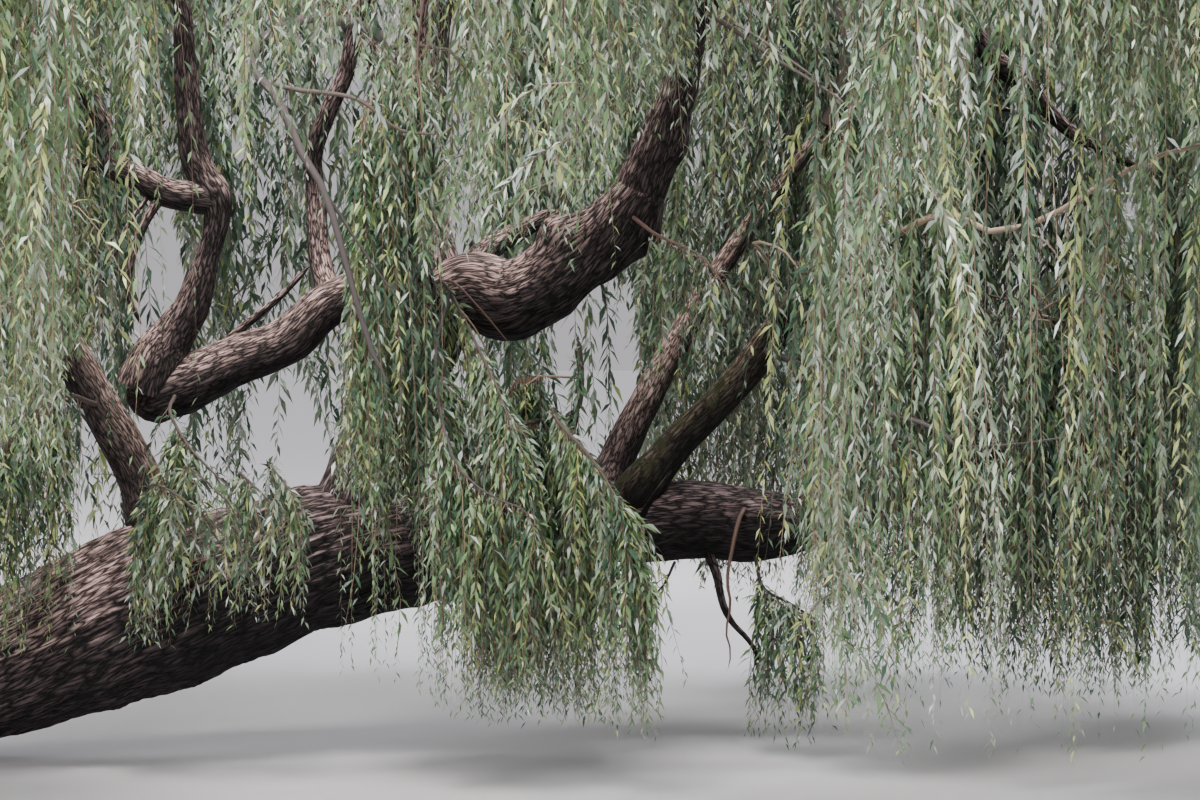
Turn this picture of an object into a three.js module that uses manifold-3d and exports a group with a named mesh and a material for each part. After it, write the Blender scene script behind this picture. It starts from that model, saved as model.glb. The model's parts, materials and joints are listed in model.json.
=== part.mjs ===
// Weeping willow: a low leaning trunk, its boughs, and curtains of hanging foliage all round.
// Millimetres. +Z is up, +X runs the way the trunk leans, +Y points to the far side of the tree.
// The origin is at ground level, in the flat cut under the trunk.

import * as THREE from 'three';
import { mergeVertices } from 'three/addons/utils/BufferGeometryUtils.js';
import Module from 'manifold-3d';

const METRE = 1000;

// Clearance kept where one piece meets the next, in millimetres.
const SEAT_GAP = 0.3;

// The trunk leaves the ground steeply, then leans over and runs out low to its fork. All in metres.
const TRUNK_RADIUS = 0.47;
const TRUNK_BASE_RADIUS = 0.6;
const TRUNK_WAIST_RADIUS = 0.45;
const TRUNK_BULGE_RADIUS = 0.54;
const TRUNK_FORK_RADIUS = 0.43;
const FORK = [3.53, 0.5, 1.3];
const TRUNK_SIDES = 14;
const TRUNK_STEPS = 12;
const TRUNK_WAY = [
  [-0.22, 0, -0.55], [0, 0, 0], [0.3, 0.01, 0.33], [0.72, 0.03, 0.46], [1.2, 0.06, 0.56],
  [1.9, 0.14, 0.83], [2.7, 0.3, 1.08], FORK,
];
const TRUNK_RADII = [
  TRUNK_BASE_RADIUS, TRUNK_BASE_RADIUS, 0.53, TRUNK_RADIUS, TRUNK_WAIST_RADIUS,
  0.49, TRUNK_BULGE_RADIUS, 0.5, TRUNK_RADIUS, TRUNK_FORK_RADIUS,
];

// Buttress roots that spread the trunk's foot: each leaves the trunk at its top, bends down over its
// knee, and meets the ground at its toe. All in metres, and angles in radians.
const ROOT_COUNT = 7;
const ROOT_REACH = 1.25;
const ROOT_REACH_CHANGE = 0.15;
const ROOT_REACH_BEAT = 3.1;
const ROOT_TURN_CHANGE = 0.35;
const ROOT_TURN_BEAT = 2.4;
const ROOT_TOP = [0.12, 0, 0.5];
const ROOT_KNEE = { middle: 0.1, out: 0.42, height: 0.24 };
const ROOT_TOE = { middle: 0.05, share: 0.8 };
const ROOT_DEPTH = -0.35;
const ROOT_RADII = [0.27, 0.27, 0.2, 0.12];
const ROOT_SIDES = 6;
const ROOT_STEPS = 4;

// Slab that the foot is cut off by at ground level, in millimetres.
const GROUND_SIZE = 8 * METRE;
const GROUND_DEPTH = 2 * METRE;

// Foliage: how each mass branches. Lengths and radii in metres, angles in degrees, pairs are the
// lowest and highest that a draw gives, and the rest are shares.
const TWIG_SIDES = 3;
const GOLDEN_ANGLE = 137.5;

const STEM_RADII = [0.05, 0.036];
const STEM_STEPS = 4;
const STEM_PULL = 0.4;
const STEM_CREST = 0.8;

const ARM_COUNT = 5;
const SMALL_ARM_COUNT = 4;
const ARM_ROOTS = [0.4, 0.96];
const ARM_RADII = [0.016, 0.011];
const ARM_STEPS = 5;
const ARM_OUT = [0.68, 0.88];
const ARM_LIFT = [0.55, 0.75];
const ARM_ARCH_AT = 0.55;
const ARM_ARCH_RISE = 0.2;
const ARM_FLARE = 1.06;
const ARM_HEM = [0.75, 0.95];
const LEAST_ARM = 0.4;
const ARM_SPRAYS_FROM = 0.24;

const STRAND_AT = 0.42;
const STRAND_RADII = [0.0055, 0.004];
const STRAND_STEPS = 2;
const STRAND_TURN = [70, 130];
const STRAND_PUSH = [0.25, 0.4];
const STRAND_DROP = [0.6, 0.95];
const STRAND_BEND_DOWN = 0.12;
const STRAND_BEND_OUT = 0.7;
const STRAND_SPRAYS_FROM = 0.15;

const SPRAY_LENGTH = 1.25;
const SPRAY_WIDTH = 0.36;
const SPRAY_THICKNESS = 0.06;
const SPRAY_SHOULDER = 0.42;
const SPRAY_LEAN = 20;
const SPRAY_LEAN_CHANGE = [0.7, 1.4];
const SPRAY_TURN = 40;
const SPRAY_TWIST = 35;
const SPRAY_SPACING = 1;
const SPRAY_STAGGER = [0.3, 0.7];
const SPRAY_LAST = 0.98;
const SPRAY_CHECKS = [0.25, 0.5, 0.75, 1];
const SPRAY_ROOM = 0.15;
const SMALL_SPRAY = 0.35;

// How each mass keeps to its own space.
const FULL_SPREAD = 1.8;
const SMALL_SPREAD = 1.2;
const SPACE_MARGIN = 0.07;
const HEM_SQUARENESS = 8;
const ROOM_WIDEST = 0.95;
const ROOM_LEAST = 0.2;
const ROOM_STEP = 0.05;
const ROOM_HEIGHTS = [0.35, 0, -0.35, -0.7];
const WAY_CHECKS = 32;
const LIMB_CHECK_SPACING = 0.12;
const LIMB_MARGIN = 0.07;
const OWN_BOUGH_MARGIN = 0.02;

// Repeatable draws.
const SEED_FACTOR = 7919;
const SEED_START = 104729;
const DRAW_FACTOR = 1664525;
const DRAW_STEP = 1013904223;
const DRAW_RANGE = 2 ** 32;

const BARK = { color: 0x4a3f3a, roughness: 0.95, metalness: 0 };
const MOSSY_BARK = { color: 0x5d5c42, roughness: 0.95, metalness: 0 };
const PALE_BARK = { color: 0x75604e, roughness: 0.92, metalness: 0 };
const FOLIAGE = { color: 0x6d7f58, roughness: 0.7, metalness: 0 };

// Boughs in growing order. way: the middle line from root to tip, in metres, with its root sunk in
// what carries it. radii: from root to tip, evenly spaced along the way.
const BOUGHS = [
  {
    name: 'lower_bough', bark: BARK, sides: 11, steps: 10,
    way: [[3.3, 0.47, 1.25], [4.35, 0.56, 1.37], [4.98, 0.6, 1.44], [5.61, 0.6, 1.45],
      [6.05, 0.6, 1.42], [6.7, 0.62, 1.54], [7.5, 0.66, 1.9]],
    radii: [0.41, 0.39, 0.33, 0.27, 0.25, 0.24, 0.13, 0.09, 0.06],
  },
  {
    name: 'upper_stem', bark: BARK, sides: 10, steps: 5,
    way: [[3.42, 0.52, 1.15], [3.6, 0.58, 1.85], [3.74, 0.65, 2.34], [3.92, 0.7, 2.8]],
    radii: [0.36, 0.33, 0.29, 0.28, 0.27],
  },
  {
    name: 'elbow_bough', bark: BARK, sides: 11, steps: 10,
    way: [[3.86, 0.68, 2.72], [4.16, 0.6, 2.9], [4.41, 0.55, 2.85], [4.72, 0.5, 2.97],
      [5.04, 0.45, 3.25], [5.26, 0.42, 3.55]],
    radii: [0.24, 0.23, 0.25, 0.24, 0.22, 0.2, 0.17],
  },
  {
    name: 'elbow_riser', bark: BARK, sides: 8, steps: 7,
    way: [[5.2, 0.43, 3.46], [5.36, 0.4, 3.85], [5.48, 0.38, 4.2], [5.6, 0.35, 4.73], [5.78, 0.3, 5.3]],
    radii: [0.165, 0.14, 0.105, 0.095, 0.09],
  },
  {
    name: 'crown_right_bough', bark: BARK, sides: 6, steps: 4,
    way: [[5.76, 0.31, 5.22], [6.05, 0.25, 5.9], [6.5, 0.2, 6.6]],
    radii: [0.08, 0.065, 0.05],
  },
  {
    name: 'east_bough', bark: BARK, sides: 6, steps: 6,
    way: [[5.66, 0.33, 4.98], [6.4, 0.4, 5.75], [7.6, 0.35, 5.95], [8.8, 0.15, 5.3]],
    radii: [0.08, 0.075, 0.06, 0.05],
  },
  {
    name: 'front_right_bough', bark: BARK, sides: 6, steps: 5,
    way: [[5.58, 0.34, 4.6], [6.1, -0.45, 5.35], [6.7, -1.3, 5.7], [7.2, -2.0, 5.7]],
    radii: [0.075, 0.07, 0.06, 0.05],
  },
  {
    name: 'leader', bark: BARK, sides: 8, steps: 8,
    way: [[3.84, 0.72, 2.55], [3.78, 1.0, 3.5], [3.85, 1.3, 4.6], [4.15, 1.45, 6.0], [4.45, 1.15, 7.4]],
    radii: [0.25, 0.22, 0.19, 0.15, 0.12, 0.09, 0.06],
  },
  {
    name: 'left_bough', bark: BARK, sides: 9, steps: 10,
    way: [[3.85, 0.66, 2.6], [3.56, 0.55, 2.86], [3.3, 0.48, 2.82], [3.02, 0.42, 2.58],
      [2.71, 0.4, 2.46], [2.45, 0.38, 2.35], [2.12, 0.35, 2.24]],
    radii: [0.19, 0.17, 0.15, 0.145, 0.15, 0.16, 0.19, 0.17],
  },
  {
    name: 'left_riser', bark: BARK, sides: 8, steps: 10,
    way: [[2.16, 0.35, 2.28], [2.27, 0.34, 2.53], [2.43, 0.33, 2.78], [2.545, 0.32, 3.12],
      [2.61, 0.3, 3.42], [2.48, 0.3, 3.72], [2.43, 0.3, 4.1], [2.4, 0.3, 4.6]],
    radii: [0.16, 0.14, 0.11, 0.075, 0.08, 0.1, 0.085, 0.07, 0.065],
  },
  {
    name: 'crown_left_bough', bark: BARK, sides: 6, steps: 4,
    way: [[2.41, 0.3, 4.52], [2.32, 0.32, 5.4], [2.42, 0.35, 6.3]],
    radii: [0.058, 0.054, 0.045],
  },
  {
    name: 'front_left_bough', bark: BARK, sides: 6, steps: 5,
    way: [[2.36, 0.31, 4.95], [2.05, -0.6, 5.6], [1.8, -1.5, 5.85], [1.65, -2.2, 5.75]],
    radii: [0.05, 0.05, 0.045, 0.04],
  },
  {
    name: 'left_side_branch', bark: BARK, sides: 7, steps: 7,
    way: [[2.58, 0.3, 3.47], [2.29, 0.27, 3.51], [2.14, 0.25, 3.6], [1.96, 0.23, 3.7],
      [1.92, 0.22, 3.92], [1.74, 0.2, 4.25]],
    radii: [0.075, 0.08, 0.07, 0.06, 0.047, 0.04],
  },
  {
    name: 'far_left_bough', bark: PALE_BARK, sides: 8, steps: 8,
    way: [[2.38, 0.3, 1.0], [2.11, 0.2, 1.8], [1.89, 0.14, 2.21], [1.7, 0.08, 2.56],
      [1.2, 0.0, 3.5], [0.3, -0.05, 4.7]],
    radii: [0.15, 0.135, 0.125, 0.12, 0.1, 0.08, 0.06],
  },
  {
    name: 'mossy_bough', bark: MOSSY_BARK, sides: 8, steps: 8,
    way: [[5.02, 0.55, 1.42], [5.23, 0.48, 1.66], [5.48, 0.44, 1.96], [5.76, 0.36, 2.24],
      [5.99, 0.27, 2.53], [6.45, 0.0, 3.2], [6.85, -0.3, 3.75]],
    radii: [0.115, 0.11, 0.105, 0.1, 0.085, 0.065, 0.05],
  },
  {
    name: 'far_side_bough', bark: PALE_BARK, sides: 8, steps: 7,
    way: [[4.86, 0.7, 1.4], [5.08, 0.92, 1.8], [5.23, 1.1, 2.1], [5.75, 1.65, 3.0], [6.5, 2.15, 4.0]],
    radii: [0.13, 0.11, 0.09, 0.075, 0.06, 0.05],
  },
  {
    name: 'back_right_bough', bark: BARK, sides: 6, steps: 5,
    way: [[4.0, 1.38, 5.2], [4.9, 1.85, 5.95], [6.1, 2.35, 6.2], [7.3, 2.95, 6.0]],
    radii: [0.11, 0.1, 0.075, 0.05],
  },
  {
    name: 'right_bough', bark: BARK, sides: 6, steps: 9,
    way: [[6.5, 2.52, 6.17], [7.25, 2.5, 5.4], [7.62, 2.5, 4.56], [7.9, 2.5, 4.3], [8.22, 2.5, 3.98],
      [8.73, 2.45, 3.72]],
    radii: [0.065, 0.065, 0.062, 0.06, 0.05, 0.04],
  },
  {
    name: 'back_bough', bark: BARK, sides: 6, steps: 4,
    way: [[3.86, 1.28, 4.6], [4.2, 2.4, 5.45], [4.85, 3.9, 5.8]],
    radii: [0.095, 0.08, 0.05],
  },
  {
    name: 'back_left_bough', bark: BARK, sides: 6, steps: 5,
    way: [[3.8, 1.1, 4.0], [3.1, 1.85, 5.0], [2.4, 2.6, 5.7], [1.95, 3.1, 5.9]],
    radii: [0.1, 0.085, 0.065, 0.05],
  },
  {
    name: 'crown_front_bough', bark: BARK, sides: 6, steps: 4,
    way: [[4.05, 1.42, 5.6], [4.3, 0.5, 6.55], [4.48, -0.8, 7.25]],
    radii: [0.085, 0.07, 0.05],
  },
  {
    name: 'front_bough', bark: BARK, sides: 6, steps: 4,
    way: [[4.25, 0.75, 6.28], [4.42, -1.0, 6.5], [4.5, -3.0, 6.3]],
    radii: [0.055, 0.055, 0.045],
  },
  {
    name: 'crown_back_bough', bark: BARK, sides: 6, steps: 3,
    way: [[4.22, 1.4, 6.2], [4.5, 2.0, 6.85], [4.75, 2.5, 7.2]],
    radii: [0.07, 0.06, 0.045],
  },
  {
    name: 'fork_branch', bark: BARK, sides: 6, steps: 3,
    way: [[3.92, 0.6, 2.72], [3.86, 0.1, 3.25], [3.78, -0.3, 3.65]],
    radii: [0.06, 0.05, 0.035],
  },
  {
    name: 'drape_branch', bark: BARK, sides: 6, steps: 3,
    way: [[4.7, 0.55, 1.5], [4.78, 0.3, 1.98], [4.84, 0.0, 2.2]],
    radii: [0.05, 0.042, 0.03],
  },
];

// Foliage masses, each on the tip of one bough. middle: plan position of its space. spread: half
// widths of the space. waist: height where its sides are widest. top and hem: the space's highest and
// lowest reach. All in metres.
const MASSES = [
  {
    name: 'west_curtain', bough: 'far_left_bough',
    middle: [-0.3, -0.1], spread: [1.8, 2.0], waist: 4.6, top: 6.9, hem: 0.7,
  },
  {
    name: 'front_left_curtain', bough: 'front_left_bough',
    middle: [1.4, -2.9], spread: [2.0, 1.9], waist: 4.9, top: 7.5, hem: 1.8,
  },
  {
    name: 'front_curtain', bough: 'front_bough',
    middle: [4.5, -3.7], spread: [1.8, 1.8], waist: 5.3, top: 7.9, hem: 3.0,
  },
  {
    name: 'front_right_curtain', bough: 'front_right_bough',
    middle: [7.6, -3.0], spread: [2.0, 2.0], waist: 4.7, top: 7.3, hem: 0.3,
  },
  {
    name: 'east_curtain', bough: 'east_bough',
    middle: [9.6, -0.1], spread: [1.7, 2.0], waist: 4.2, top: 6.6, hem: 0.3,
  },
  {
    name: 'back_right_curtain', bough: 'back_right_bough',
    middle: [8.1, 3.6], spread: [2.1, 1.9], waist: 4.8, top: 7.4, hem: 0.4,
  },
  {
    name: 'back_curtain', bough: 'back_bough',
    middle: [4.9, 4.3], spread: [1.8, 1.6], waist: 5.0, top: 7.7, hem: 0.8,
  },
  {
    name: 'back_left_curtain', bough: 'back_left_bough',
    middle: [1.7, 3.5], spread: [2.1, 1.9], waist: 4.8, top: 7.4, hem: 0.9,
  },
  {
    name: 'crown_left', bough: 'crown_left_bough',
    middle: [2.4, 0.2], spread: [2.0, 2.0], waist: 6.6, top: 9.0, hem: 5.2,
  },
  {
    name: 'crown_top', bough: 'leader',
    middle: [4.6, 0.9], spread: [1.8, 1.8], waist: 7.5, top: 10.3, hem: 5.6,
  },
  {
    name: 'crown_right', bough: 'crown_right_bough',
    middle: [6.9, 0.1], spread: [1.9, 2.0], waist: 6.5, top: 9.1, hem: 4.6,
  },
  {
    name: 'crown_front', bough: 'crown_front_bough',
    middle: [4.5, -1.6], spread: [1.7, 1.5], waist: 6.9, top: 9.4, hem: 5.0,
  },
  {
    name: 'crown_back', bough: 'crown_back_bough',
    middle: [4.9, 2.8], spread: [1.8, 1.4], waist: 6.8, top: 9.2, hem: 5.5,
  },
  {
    name: 'fork_curtain', bough: 'fork_branch',
    middle: [3.72, -0.75], spread: [0.8, 0.65], waist: 3.7, top: 4.6, hem: 0.5,
  },
  {
    name: 'drape_curtain', bough: 'drape_branch',
    middle: [4.85, -0.5], spread: [0.8, 0.55], waist: 2.2, top: 2.75, hem: 0.4,
  },
  {
    name: 'mossy_curtain', bough: 'mossy_bough',
    middle: [7.1, -0.7], spread: [1.1, 0.9], waist: 3.7, top: 4.9, hem: 0.5,
  },
  {
    name: 'low_curtain', bough: 'lower_bough',
    middle: [8.0, 0.8], spread: [1.0, 0.9], waist: 2.4, top: 3.4, hem: 0.3,
  },
  {
    name: 'right_curtain', bough: 'right_bough',
    middle: [9.1, 2.1], spread: [1.25, 1.15], waist: 4.2, top: 5.7, hem: 0.4,
  },
  {
    name: 'far_side_curtain', bough: 'far_side_bough',
    middle: [6.3, 2.5], spread: [1.25, 1.15], waist: 4.3, top: 5.9, hem: 0.7,
  },
  {
    name: 'left_side_curtain', bough: 'left_side_branch',
    middle: [1.3, 0.1], spread: [0.9, 1.0], waist: 4.0, top: 5.3, hem: 2.0,
  },
];

const wasm = await Module();
wasm.setup();

const degrees = THREE.MathUtils.degToRad;
const mix = THREE.MathUtils.lerp;

// A share of the way from the lowest to the highest of a pair.
function between(pair, share) {
  return mix(pair[0], pair[1], share);
}

function point(place) {
  return new THREE.Vector3(...place);
}

function smoothCurve(places) {
  return new THREE.CatmullRomCurve3(places, false, 'centripetal');
}

// Value at t, 0 to 1, of a list of evenly spaced values.
function along(values, t) {
  const place = t * (values.length - 1);
  const index = Math.min(Math.floor(place), values.length - 2);
  return mix(values[index], values[index + 1], place - index);
}

// Closed tapering limb round a curve in metres, with flat ends, swollen on every side by swell mm.
function limbGeometry(curve, radii, sides, steps, swell = 0) {
  const geometry = new THREE.CylinderGeometry(1, 1, 1, sides, steps);
  const frames = curve.computeFrenetFrames(steps, false);
  const middles = curve.getSpacedPoints(steps);
  const position = geometry.attributes.position;
  const vertex = new THREE.Vector3();
  for (let i = 0; i < position.count; i += 1) {
    vertex.fromBufferAttribute(position, i);
    const ring = Math.round((vertex.y + 0.5) * steps);
    const reach = along(radii, ring / steps) * METRE + swell;
    const sideways = new THREE.Vector3().crossVectors(frames.normals[ring], frames.tangents[ring]);
    const end = (ring === steps ? swell : 0) - (ring === 0 ? swell : 0);
    const placed = middles[ring].clone().multiplyScalar(METRE)
      .addScaledVector(frames.normals[ring], vertex.x * reach)
      .addScaledVector(sideways, vertex.z * reach)
      .addScaledVector(frames.tangents[ring], end);
    position.setXYZ(i, placed.x, placed.y, placed.z);
  }
  return geometry;
}

function solidOf(geometry) {
  const bare = geometry.clone();
  bare.deleteAttribute('normal');
  bare.deleteAttribute('uv');
  const merged = mergeVertices(bare, 1e-4);
  const vertProperties = new Float32Array(merged.attributes.position.array);
  const triVerts = new Uint32Array(merged.index.array);
  return new wasm.Manifold(new wasm.Mesh({ numProp: 3, vertProperties, triVerts }));
}

function geometryOf(solid) {
  const mesh = solid.getMesh();
  const geometry = new THREE.BufferGeometry();
  geometry.setAttribute('position', new THREE.BufferAttribute(new Float32Array(mesh.vertProperties), 3));
  geometry.setIndex(new THREE.BufferAttribute(new Uint32Array(mesh.triVerts), 1));
  return geometry;
}

// The largest body of a solid: loose scraps are dropped.
function largestBody(solid) {
  return solid.decompose().reduce((a, b) => (a.volume() >= b.volume() ? a : b));
}

function namedMesh(name, solid, finish) {
  const geometry = geometryOf(solid);
  geometry.computeVertexNormals();
  const mesh = new THREE.Mesh(geometry, new THREE.MeshStandardMaterial(finish));
  mesh.name = name;
  return mesh;
}

// Buttress root number index: the roots are spread round the foot, a little unevenly.
function rootCurve(index) {
  const turn = (index / ROOT_COUNT) * 2 * Math.PI + ROOT_TURN_CHANGE * Math.sin(ROOT_TURN_BEAT * index);
  const change = ROOT_REACH_CHANGE * (Math.cos(ROOT_REACH_BEAT * index) - 1);
  const reach = ROOT_REACH * (1 + change);
  const out = (middle, distance, height) => (
    point([middle + distance * Math.cos(turn), distance * Math.sin(turn), height])
  );
  return new THREE.CatmullRomCurve3([
    point(ROOT_TOP),
    out(ROOT_KNEE.middle, ROOT_KNEE.out, ROOT_KNEE.height),
    out(ROOT_TOE.middle, ROOT_TOE.share * reach, 0),
    out(0, reach, ROOT_DEPTH),
  ]);
}

// Trunk: a leaning tapered limb with buttress roots round its foot, cut flat at ground level.
function trunkSolid(swell = 0) {
  const stem = limbGeometry(smoothCurve(TRUNK_WAY.map(point)), TRUNK_RADII, TRUNK_SIDES, TRUNK_STEPS, swell);
  let solid = solidOf(stem);
  for (let index = 0; index < ROOT_COUNT; index += 1) {
    const root = limbGeometry(rootCurve(index), ROOT_RADII, ROOT_SIDES, ROOT_STEPS, swell);
    solid = solid.add(solidOf(root));
  }
  const ground = new THREE.BoxGeometry(GROUND_SIZE, GROUND_SIZE, GROUND_DEPTH);
  ground.translate(0, 0, -GROUND_DEPTH / 2);
  return solid.subtract(solidOf(ground));
}

// The trunk first, then each bough, cut clear of every limb made before it.
function growLimbs() {
  const trunk = {
    name: 'trunk', bark: BARK, curve: smoothCurve(TRUNK_WAY.map(point)), radii: TRUNK_RADII,
    solid: trunkSolid(), swollen: trunkSolid(SEAT_GAP),
  };
  const limbs = [trunk];
  for (const bough of BOUGHS) {
    const curve = smoothCurve(bough.way.map(point));
    const shape = (swell) => solidOf(limbGeometry(curve, bough.radii, bough.sides, bough.steps, swell));
    let solid = shape(0);
    for (const earlier of limbs) {
      solid = solid.subtract(earlier.swollen);
    }
    limbs.push({ ...bough, curve, solid: largestBody(solid), swollen: shape(SEAT_GAP) });
  }
  return limbs;
}

// Repeatable draws from 0 to 1 for one mass.
function seededDraws(seed) {
  let state = seed * SEED_FACTOR + SEED_START;
  return () => {
    state = (Math.imul(state, DRAW_FACTOR) + DRAW_STEP) >>> 0;
    return state / DRAW_RANGE;
  };
}

// How far out a place lies in a mass's space: 0 at its heart, 1 at its edge.
function outwardness(mass, place) {
  const across = Math.hypot(
    (place.x - mass.middle[0]) / mass.spread[0],
    (place.y - mass.middle[1]) / mass.spread[1],
  );
  if (place.z > mass.waist) {
    return across ** 2 + ((place.z - mass.waist) / (mass.top - mass.waist)) ** 2;
  }
  return across ** 2 + ((mass.waist - place.z) / (mass.waist - mass.hem)) ** HEM_SQUARENESS;
}

// True where a place lies inside a mass's own space and clear of its neighbours' spaces.
function insideSpace(mass, place) {
  const own = outwardness(mass, place);
  const others = MASSES.filter((other) => other !== mass);
  return own <= 1 && others.every((other) => own + SPACE_MARGIN < outwardness(other, place));
}

// Sample places down the middle of every limb, with the limb's radius at each.
function limbSamples(limbs) {
  return limbs.flatMap((limb) => {
    const count = Math.ceil(limb.curve.getLength() / LIMB_CHECK_SPACING);
    return limb.curve.getSpacedPoints(count).map((place, index) => ({
      place, radius: along(limb.radii, index / count), limb: limb.name, margin: LIMB_MARGIN,
    }));
  });
}

function clearOfLimbs(place, reach, samples) {
  return samples.every((sample) => place.distanceTo(sample.place) > sample.radius + reach + sample.margin);
}

// Three-sided tapering twig along a curve, with the middle line that its facets follow.
function twig(curve, radii, steps) {
  return {
    solid: solidOf(limbGeometry(curve, radii, TWIG_SIDES, steps)),
    middles: curve.getSpacedPoints(steps),
  };
}

// Place at t, 0 to 1, on a twig's middle line.
function onTwig(middles, t) {
  const place = t * (middles.length - 1);
  const index = Math.min(Math.floor(place), middles.length - 2);
  return middles[index].clone().lerp(middles[index + 1], place - index);
}

// Spray of leaves: a long flat lozenge of eight faces whose root lies in the middle of its twig.
function spraySolid(root, direction, across, size) {
  const geometry = new THREE.OctahedronGeometry(1, 0);
  const face = new THREE.Vector3().crossVectors(across, direction).normalize();
  const side = new THREE.Vector3().crossVectors(direction, face).normalize();
  const position = geometry.attributes.position;
  for (let i = 0; i < position.count; i += 1) {
    const height = position.getY(i);
    const down = height > 0 ? mix(SPRAY_SHOULDER, 1, height) : mix(SPRAY_SHOULDER, 0, -height);
    const placed = root.clone()
      .addScaledVector(direction, down * size * SPRAY_LENGTH)
      .addScaledVector(side, position.getX(i) * size * SPRAY_WIDTH / 2)
      .addScaledVector(face, position.getZ(i) * size * SPRAY_THICKNESS / 2)
      .multiplyScalar(METRE);
    position.setXYZ(i, placed.x, placed.y, placed.z);
  }
  return solidOf(geometry);
}

// The first share of a curve, as a curve.
function firstPart(curve, share) {
  return smoothCurve([0, 0.25, 0.5, 0.75, 1].map((t) => curve.getPointAt(t * share)));
}

// The stem of a mass: on from its bough's tip, up to near the top of the space.
function stemCurve(mass, limb) {
  const tip = limb.curve.getPointAt(1);
  const heading = limb.curve.getTangentAt(1);
  const start = tip.clone().addScaledVector(heading, SEAT_GAP / METRE);
  const crest = new THREE.Vector3(...mass.middle, mix(mass.waist, mass.top, STEM_CREST));
  const through = start.clone().addScaledVector(heading, STEM_PULL * start.distanceTo(crest));
  return new THREE.QuadraticBezierCurve3(start, through, crest);
}

// A place in a mass's space: out is the share of its spread along a heading.
function spaceAt(mass, azimuth, out, height) {
  return new THREE.Vector3(
    mass.middle[0] + mass.spread[0] * out * Math.cos(azimuth),
    mass.middle[1] + mass.spread[1] * out * Math.sin(azimuth),
    height,
  );
}

// How far out an arm on a heading can hang and stay in the space, with room for its sprays.
function roomOut(mass, azimuth) {
  const heights = ROOM_HEIGHTS.map((share) => (share > 0
    ? mix(mass.waist, mass.top, share)
    : mix(mass.waist, mass.hem, -share)));
  const roomy = (out) => heights.every((height) => insideSpace(mass, spaceAt(mass, azimuth, out, height)));
  let out = ROOM_WIDEST;
  while (out > ROOM_LEAST && !roomy(out)) {
    out -= ROOM_STEP;
  }
  return out;
}

// An arm arches out of the stem to the side of the dome, then hangs as a strand towards the hem.
function armCurve(mass, start, azimuth, draw) {
  const out = roomOut(mass, azimuth) * between(ARM_OUT, draw());
  const lift = Math.sqrt(1 - out * out) * between(ARM_LIFT, draw());
  const shoulder = spaceAt(mass, azimuth, out, mix(mass.waist, mass.top, lift));
  const arch = start.clone().lerp(shoulder, ARM_ARCH_AT);
  arch.z += ARM_ARCH_RISE * start.distanceTo(shoulder);
  const low = mix(mass.waist, mass.hem, between(ARM_HEM, draw()));
  const end = spaceAt(mass, azimuth, ARM_FLARE * out, low);
  return smoothCurve([start, arch, shoulder, end]);
}

// A strand hangs from an arm: out a little, then straight down towards the hem.
function strandCurve(mass, start, azimuth, draw) {
  const heading = azimuth + degrees(between(STRAND_TURN, draw())) * (draw() < 0.5 ? -1 : 1);
  const push = between(STRAND_PUSH, draw()) * mass.spread[0];
  const end = start.clone();
  end.x += push * Math.cos(heading);
  end.y += push * Math.sin(heading);
  end.z -= (start.z - mass.hem) * between(STRAND_DROP, draw());
  const through = start.clone().lerp(end, STRAND_BEND_DOWN);
  through.x = mix(start.x, end.x, STRAND_BEND_OUT);
  through.y = mix(start.y, end.y, STRAND_BEND_OUT);
  return new THREE.QuadraticBezierCurve3(start, through, end);
}

// The share of a curve, from its start, that stays in the space and clear of the limbs.
function shareInSpace(mass, curve, samples) {
  for (let index = 1; index <= WAY_CHECKS; index += 1) {
    const place = curve.getPointAt(index / WAY_CHECKS);
    if (!insideSpace(mass, place) || !clearOfLimbs(place, ARM_RADII[0], samples)) {
      return (index - 1) / WAY_CHECKS;
    }
  }
  return 1;
}

// Small masses bear smaller sprays.
function spraySize(mass) {
  const spread = (mass.spread[0] + mass.spread[1]) / 2;
  return mix(SMALL_SPRAY, 1, Math.min(1, spread / FULL_SPREAD));
}

// Heading and flat side of a spray that leans by lean towards turn.
function sprayWay(turn, lean, twist) {
  return {
    direction: new THREE.Vector3(
      Math.cos(turn) * Math.sin(lean),
      Math.sin(turn) * Math.sin(lean),
      -Math.cos(lean),
    ),
    across: new THREE.Vector3(Math.cos(turn + twist), Math.sin(turn + twist), 0),
  };
}

// Sprays down one twig, on alternate sides. One that would leave the space, touch a limb or crowd
// another spray leans the other way, or is skipped.
function growSprays(growth, strand) {
  const { mass, draw, samples, taken, pieces } = growth;
  const size = spraySize(mass);
  const room = strand.curve.getLength() * (1 - strand.from);
  const count = Math.max(1, Math.round(room / (size * SPRAY_SPACING)));
  for (let step = 0; step < count; step += 1) {
    const down = (step + between(SPRAY_STAGGER, draw())) / count;
    const root = onTwig(strand.middles, mix(strand.from, SPRAY_LAST, down));
    const turn = strand.azimuth + (step + 0.5) * Math.PI + degrees(mix(-SPRAY_TURN, SPRAY_TURN, draw()));
    const lean = degrees(SPRAY_LEAN * between(SPRAY_LEAN_CHANGE, draw()));
    const twist = degrees(mix(-SPRAY_TWIST, SPRAY_TWIST, draw()));
    for (const way of [sprayWay(turn, lean, twist), sprayWay(turn + Math.PI, lean, twist)]) {
      const places = SPRAY_CHECKS
        .map((share) => root.clone().addScaledVector(way.direction, share * size * SPRAY_LENGTH));
      const fits = places.every((place) => insideSpace(mass, place)
        && clearOfLimbs(place, size * SPRAY_WIDTH / 2, samples)
        && taken.every((other) => place.distanceTo(other) > size * SPRAY_ROOM));
      if (fits) {
        taken.push(...places);
        pieces.push(spraySolid(root, way.direction, way.across, size));
        break;
      }
    }
  }
}

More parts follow.
